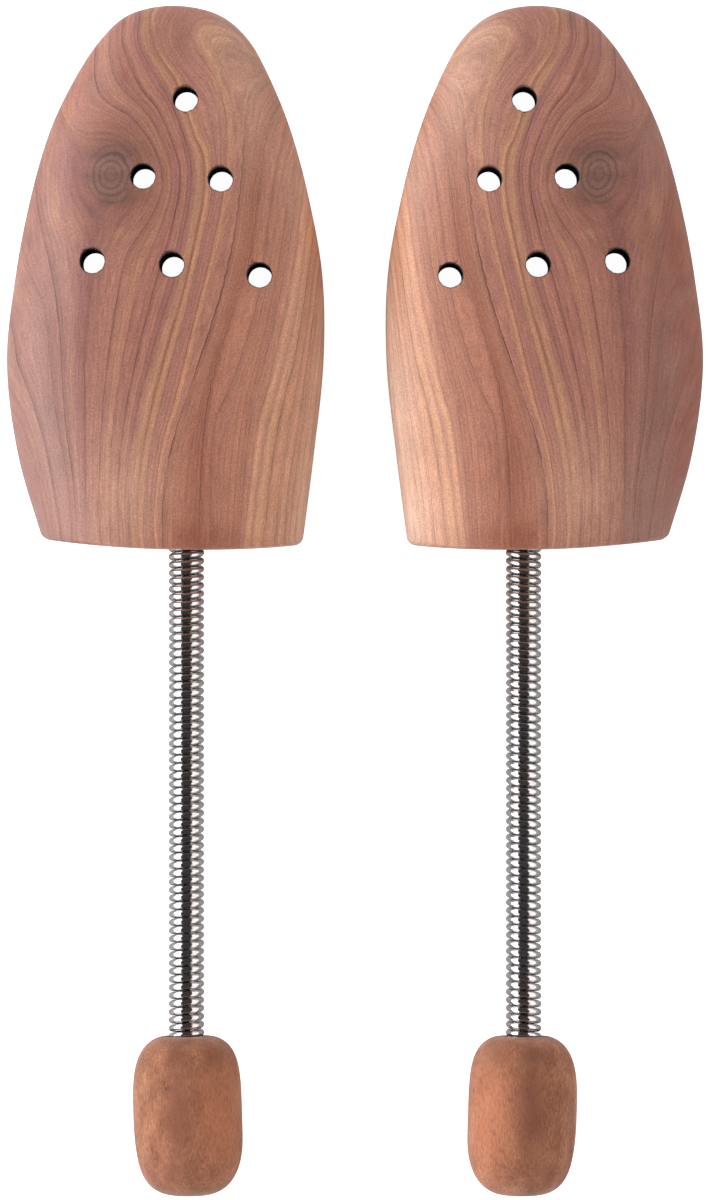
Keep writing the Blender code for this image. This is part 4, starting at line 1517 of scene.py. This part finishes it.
@dataclass
class HeelKnob:
    """The turned cedar knob on the spring's end, a barrel that a lathe left slightly out of true."""

    front_exponent: float = 3.5
    back_exponent: float = 3.1
    front_flat: float = 0.0005
    socket_chamfer: float = 0.0006
    socket_depth: float = 0.0120
    socket_radius: float = 0.00508
    leans: tuple[float, ...] = (-0.0004, -0.0002, -0.0004, -0.0008, -0.0006)
    out_of_round: float = 0.00012
    sides: int = 144
    steps: int = 150
    face_rings: int = 5
    finish: KnobFinish = field(default_factory=KnobFinish)
    marks: tuple[Mark, ...] = (
        Mark(177, 1055, 11, 9, Tone.UMBER, 0.36),
        Mark(214, 1056, 10, 14, Tone.UMBER, 0.40),
        # A darker band along the top: partly a patch of the wood, partly painted shade
        Mark(179, 1112, 15, 46, Tone.RED, 0.60),
        Mark(178, 1112, 13, 50, Tone.UMBER, 0.26),
        # Painted light: rust tones lighten the inner flank, a faint tan the outer flank
        Mark(205, 1105, 10, 60, Tone.RUST, 0.30),
        Mark(143, 1100, 9, 40, Tone.TAN, 0.12),
        Mark(222, 1120, 17, 58, Tone.RUST, 0.72),
        Mark(197, 1036, 4, 2.5, Tone.PALE, 0.8),
        Mark(165, 1172, 22, 12, Tone.RED, 0.25),
    )

    def radius(self, distance: np.ndarray, length: float, full: float) -> np.ndarray:
        """Give the barrel's radius at a distance from its front, as a superellipse.

        Args:
            distance: Distances from the front face.
            length: The knob's length.
            full: Its greatest radius.

        Returns:
            The radius at each distance.
        """
        half = (length + self.front_flat) / 2.0
        from_middle = np.minimum(np.abs(distance + self.front_flat - half) / half, 1.0)
        exponent = np.where(distance + self.front_flat < half, self.front_exponent, self.back_exponent)
        return full * (1.0 - from_middle**exponent) ** (1.0 / exponent)

    def surface(self, place: Place) -> tuple[np.ndarray, list]:
        """Make the knob from the socket's bottom, out over its front and along the barrel to its back.

        Args:
            place: The tree's place.

        Returns:
            Points in the tree's frame, and faces.
        """
        length = place.knob_front_y - place.knob_back_y
        full = place.axis_z
        half = (length + self.front_flat) / 2.0
        first = math.acos(1.0 - self.front_flat / half)
        turn = np.linspace(first, math.pi, self.steps + 1)[:-1]
        distance = half - half * np.cos(turn) - self.front_flat
        barrel = self.radius(distance, length, full)
        bore = [
            (self.socket_radius / 2.0, self.socket_depth),
            (self.socket_radius, self.socket_depth),
            (self.socket_radius, self.socket_chamfer),
            (self.socket_radius + self.socket_chamfer, 0.0),
        ]
        flat = np.linspace(bore[-1][0], barrel[0], self.face_rings + 1)[1:-1]
        profile = bore + [(radius, 0.0) for radius in flat]
        profile += list(zip(barrel.tolist(), distance.tolist()))
        radii, distances = np.array(profile).T
        bearing = np.arange(self.sides) / self.sides * FULL_TURN
        waves = self.out_of_round * (np.sin(2.0 * bearing) + 0.5 * np.sin(3.0 * bearing + 1.0))
        outer = np.arange(len(radii)) >= len(bore)
        spread = radii[:, None] + np.where(outer, radii / full, 0.0)[:, None] * waves[None, :]
        share = np.clip(distances / length, 0.0, 1.0)[:, None]
        lean = through_shares(self.leans, share) * outer[:, None]
        across = spread * np.cos(bearing) + lean
        up = np.maximum(0.0, place.axis_z + spread * np.sin(bearing))
        y = np.broadcast_to(place.knob_front_y - distances[:, None], across.shape)
        rings = np.stack((across, y, up), axis=2)
        start = np.array((0.0, place.knob_front_y - self.socket_depth, place.axis_z))
        end = np.array((self.leans[-1], place.knob_back_y, place.axis_z))
        return loft(start, rings, end)

    def build(self, place: Place) -> bpy.types.Object:
        """Make one knob, with the hole for its brad.

        Args:
            place: The tree's place.

        Returns:
            The piece.
        """
        name = f"{place.side.label}_turned_heel_knob"
        points, faces = self.surface(place)
        mesh = new_mesh(name, place.in_world(points), faces)
        mesh = cut_out(mesh, [brad_hole(f"{place.side.label}_heel_brad", place.axis_z)])
        own = place.from_world(mesh_points(mesh))
        store_marks(mesh, self.marks, place.in_picture(own))
        mesh.set_sharp_from_angle(angle=math.radians(50.0))
        return show(name, mesh)

    def dress(self, piece: bpy.types.Object, place: Place, cedar: bpy.types.Material) -> None:
        """Give the knob its finish and let it ride on the heel end."""
        piece.data.materials.clear()
        piece.data.materials.append(cedar)
        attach(piece, f"{place.side.label}_heel_end")
        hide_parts(f"{place.side.label}_heel_knob")
        LOG.info("%s: %d faces", piece.name, len(piece.data.polygons))


@dataclass
class EndFixings:
    """The dowels in the spring's ends and the brads that pin them, kept as the frame has them."""

    dowel: DowelFinish = field(default_factory=DowelFinish)
    steel: MetalFinish = MetalFinish(
        "drawn_steel_brad", "#a5a29c", "#7d7972", 0.32, 0.5, 0.0004, 0.00001
    )

    def dress(self, nodes: dict[str, bpy.types.Object]) -> None:
        """Give each dowel and brad its finish.

        Args:
            nodes: The frame's nodes by name.
        """
        finishes = {"plug": self.dowel.build(), "brad": self.steel.build()}
        for name, node in nodes.items():
            for ending, material in finishes.items():
                if name.endswith(ending):
                    node.data.materials.clear()
                    node.data.materials.append(material)
                    LOG.info("%s: %s", name, material.name)


@dataclass
class SoftBox:
    """One large upright lamp beside the pair, which faces it: its place, size, radiance and colour."""

    name: str
    x: float
    low: float
    high: float
    width: float
    radiance: float
    colour: str

    def build(self) -> None:
        """Put the lamp in the scene; its power is its radiance times pi times its area."""
        lamp = bpy.data.lights.new(self.name, "AREA")
        lamp.shape = "RECTANGLE"
        lamp.size = self.width
        lamp.size_y = self.high - self.low
        lamp.energy = self.radiance * math.pi * self.width * (self.high - self.low)
        lamp.color = linear_colour(self.colour)[:3]
        holder = bpy.data.objects.new(self.name, lamp)
        holder.location = (self.x, 0.0, (self.low + self.high) / 2.0)
        holder.rotation_euler = Vector((-self.x, 0.0, 0.0)).to_track_quat("-Z", "Y").to_euler()
        bpy.context.scene.collection.objects.link(holder)


@dataclass
class Studio:
    """A white table lit from below, soft boxes at both sides, and a camera straight above.

    The left box is the stronger one. Nothing bright hangs overhead, so that the chrome keeps the dark
    line along its top.
    """

    floor_half: float = 6.0
    floor_drop: float = 0.0002
    floor_colours: tuple[str, str] = ("#d9d9d8", "#dededc")
    floor_glow: float = 0.98
    mirrored_colour: str = "#d4d4d4"
    floor_grain: float = 0.004
    room_grey: str = "#464443"
    sensor: float = 0.036
    lamps: tuple[SoftBox, ...] = (
        SoftBox("key", -1.6, 0.05, 2.00, 6.0, 3.58, "#fdfcff"),
        SoftBox("fill", 1.6, 0.05, 2.00, 6.0, 1.68, "#fff8f4"),
    )

    def floor(self) -> None:
        """Lay a wide white table under the trees, which glows to the camera and is greyer in mirrors.

        Its light would otherwise fill the shaded sides of the wood.
        """
        half = self.floor_half
        corners = np.array([(-half, -half), (half, -half), (half, half), (-half, half)])
        points = np.column_stack((corners, np.full(4, -self.floor_drop)))
        mesh = bpy.data.meshes.new("white_table")
        mesh.from_pydata(points.tolist(), [], [(0, 1, 2, 3)])
        table = show("white_table", mesh)
        material, tree = new_material("matt_white_board")
        place = add_node(tree, "ShaderNodeTexCoord", output="Object")
        grain = add_node(tree, NOISE, {"Vector": place, "Scale": 1.0 / self.floor_grain, "Detail": 2.0})
        stops = tuple(zip((0.0, 1.0), self.floor_colours))
        colour = add_node(tree, RAMP, {0: grain}, stops=stops)
        seen = add_node(tree, "ShaderNodeLightPath", output="Is Camera Ray")
        glow = add_node(tree, MATH, {0: seen, 1: self.floor_glow}, operation="MULTIPLY")
        mirrored = {0: seen.node.outputs["Is Glossy Ray"], MIX_A: colour}
        mirrored[MIX_B] = linear_colour(self.mirrored_colour)
        colour = add_node(tree, MIX, mirrored, output=MIX_OUT, data_type="RGBA")
        shader = {
            "Base Color": colour,
            "Roughness": 0.9,
            "Emission Color": (1.0, 1.0, 1.0, 1.0),
            "Emission Strength": glow,
        }
        surface = add_node(tree, "ShaderNodeBsdfPrincipled", shader)
        add_node(tree, "ShaderNodeOutputMaterial", {"Surface": surface})
        mesh.materials.append(material)

    def sky(self) -> None:
        """Surround the scene with a dim room, drawn white where the camera sees it past the table."""
        world = bpy.data.worlds.new("studio")
        world.use_nodes = True
        world.node_tree.nodes.clear()
        tree = world.node_tree
        seen = add_node(tree, "ShaderNodeLightPath", output="Is Camera Ray")
        white = (1.0, 1.0, 1.0, 1.0)
        over = {0: seen, MIX_A: linear_colour(self.room_grey), MIX_B: white}
        grey = add_node(tree, MIX, over, output=MIX_OUT, data_type="RGBA")
        background = add_node(tree, "ShaderNodeBackground", {"Color": grey, "Strength": 1.0})
        add_node(tree, "ShaderNodeOutputWorld", {"Surface": background})
        bpy.context.scene.world = world

    def camera(self, axis_z: float) -> None:
        """Hang the camera straight above the middle of the pair, with the toes at the top."""
        lens = bpy.data.cameras.new("camera")
        lens.sensor_width = self.sensor / MM
        lens.sensor_fit = "AUTO"
        picture_height = PICTURE_SIZE_PX[1] * PIXEL
        lens.lens = self.sensor / MM * CAMERA_DISTANCE / picture_height
        lens.clip_end = CAMERA_DISTANCE * 10.0
        holder = bpy.data.objects.new("camera", lens)
        holder.location = (CAMERA_X, 0.0, axis_z + CAMERA_DISTANCE)
        bpy.context.scene.collection.objects.link(holder)
        bpy.context.scene.camera = holder

    def build(self, axis_z: float) -> None:
        """Set up the table, the surroundings, the lamps and the camera."""
        self.floor()
        self.sky()
        for lamp in self.lamps:
            lamp.build()
        self.camera(axis_z)
        bpy.context.scene.view_settings.view_transform = "Standard"


def main() -> None:
    """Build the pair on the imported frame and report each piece."""
    logging.basicConfig(level=logging.INFO, format="%(name)s: %(message)s")
    for item in list(bpy.data.objects):
        bpy.data.objects.remove(item)
    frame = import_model()
    places = {side: Place.of(side) for side in Side}

    Studio().build(places[Side.LEFT].axis_z)
    block = ToeBlock()
    block.dress(block.build(places))
    spring = CoilSpring()
    knob = HeelKnob()
    chrome = spring.finish.build()
    rough_cedar = knob.finish.build()
    for place in places.values():
        spring.dress(spring.build(place), place, chrome)
        knob.dress(knob.build(place), place, rough_cedar)
    EndFixings().dress(frame["nodes"])


if __name__ == "__main__":
    main()
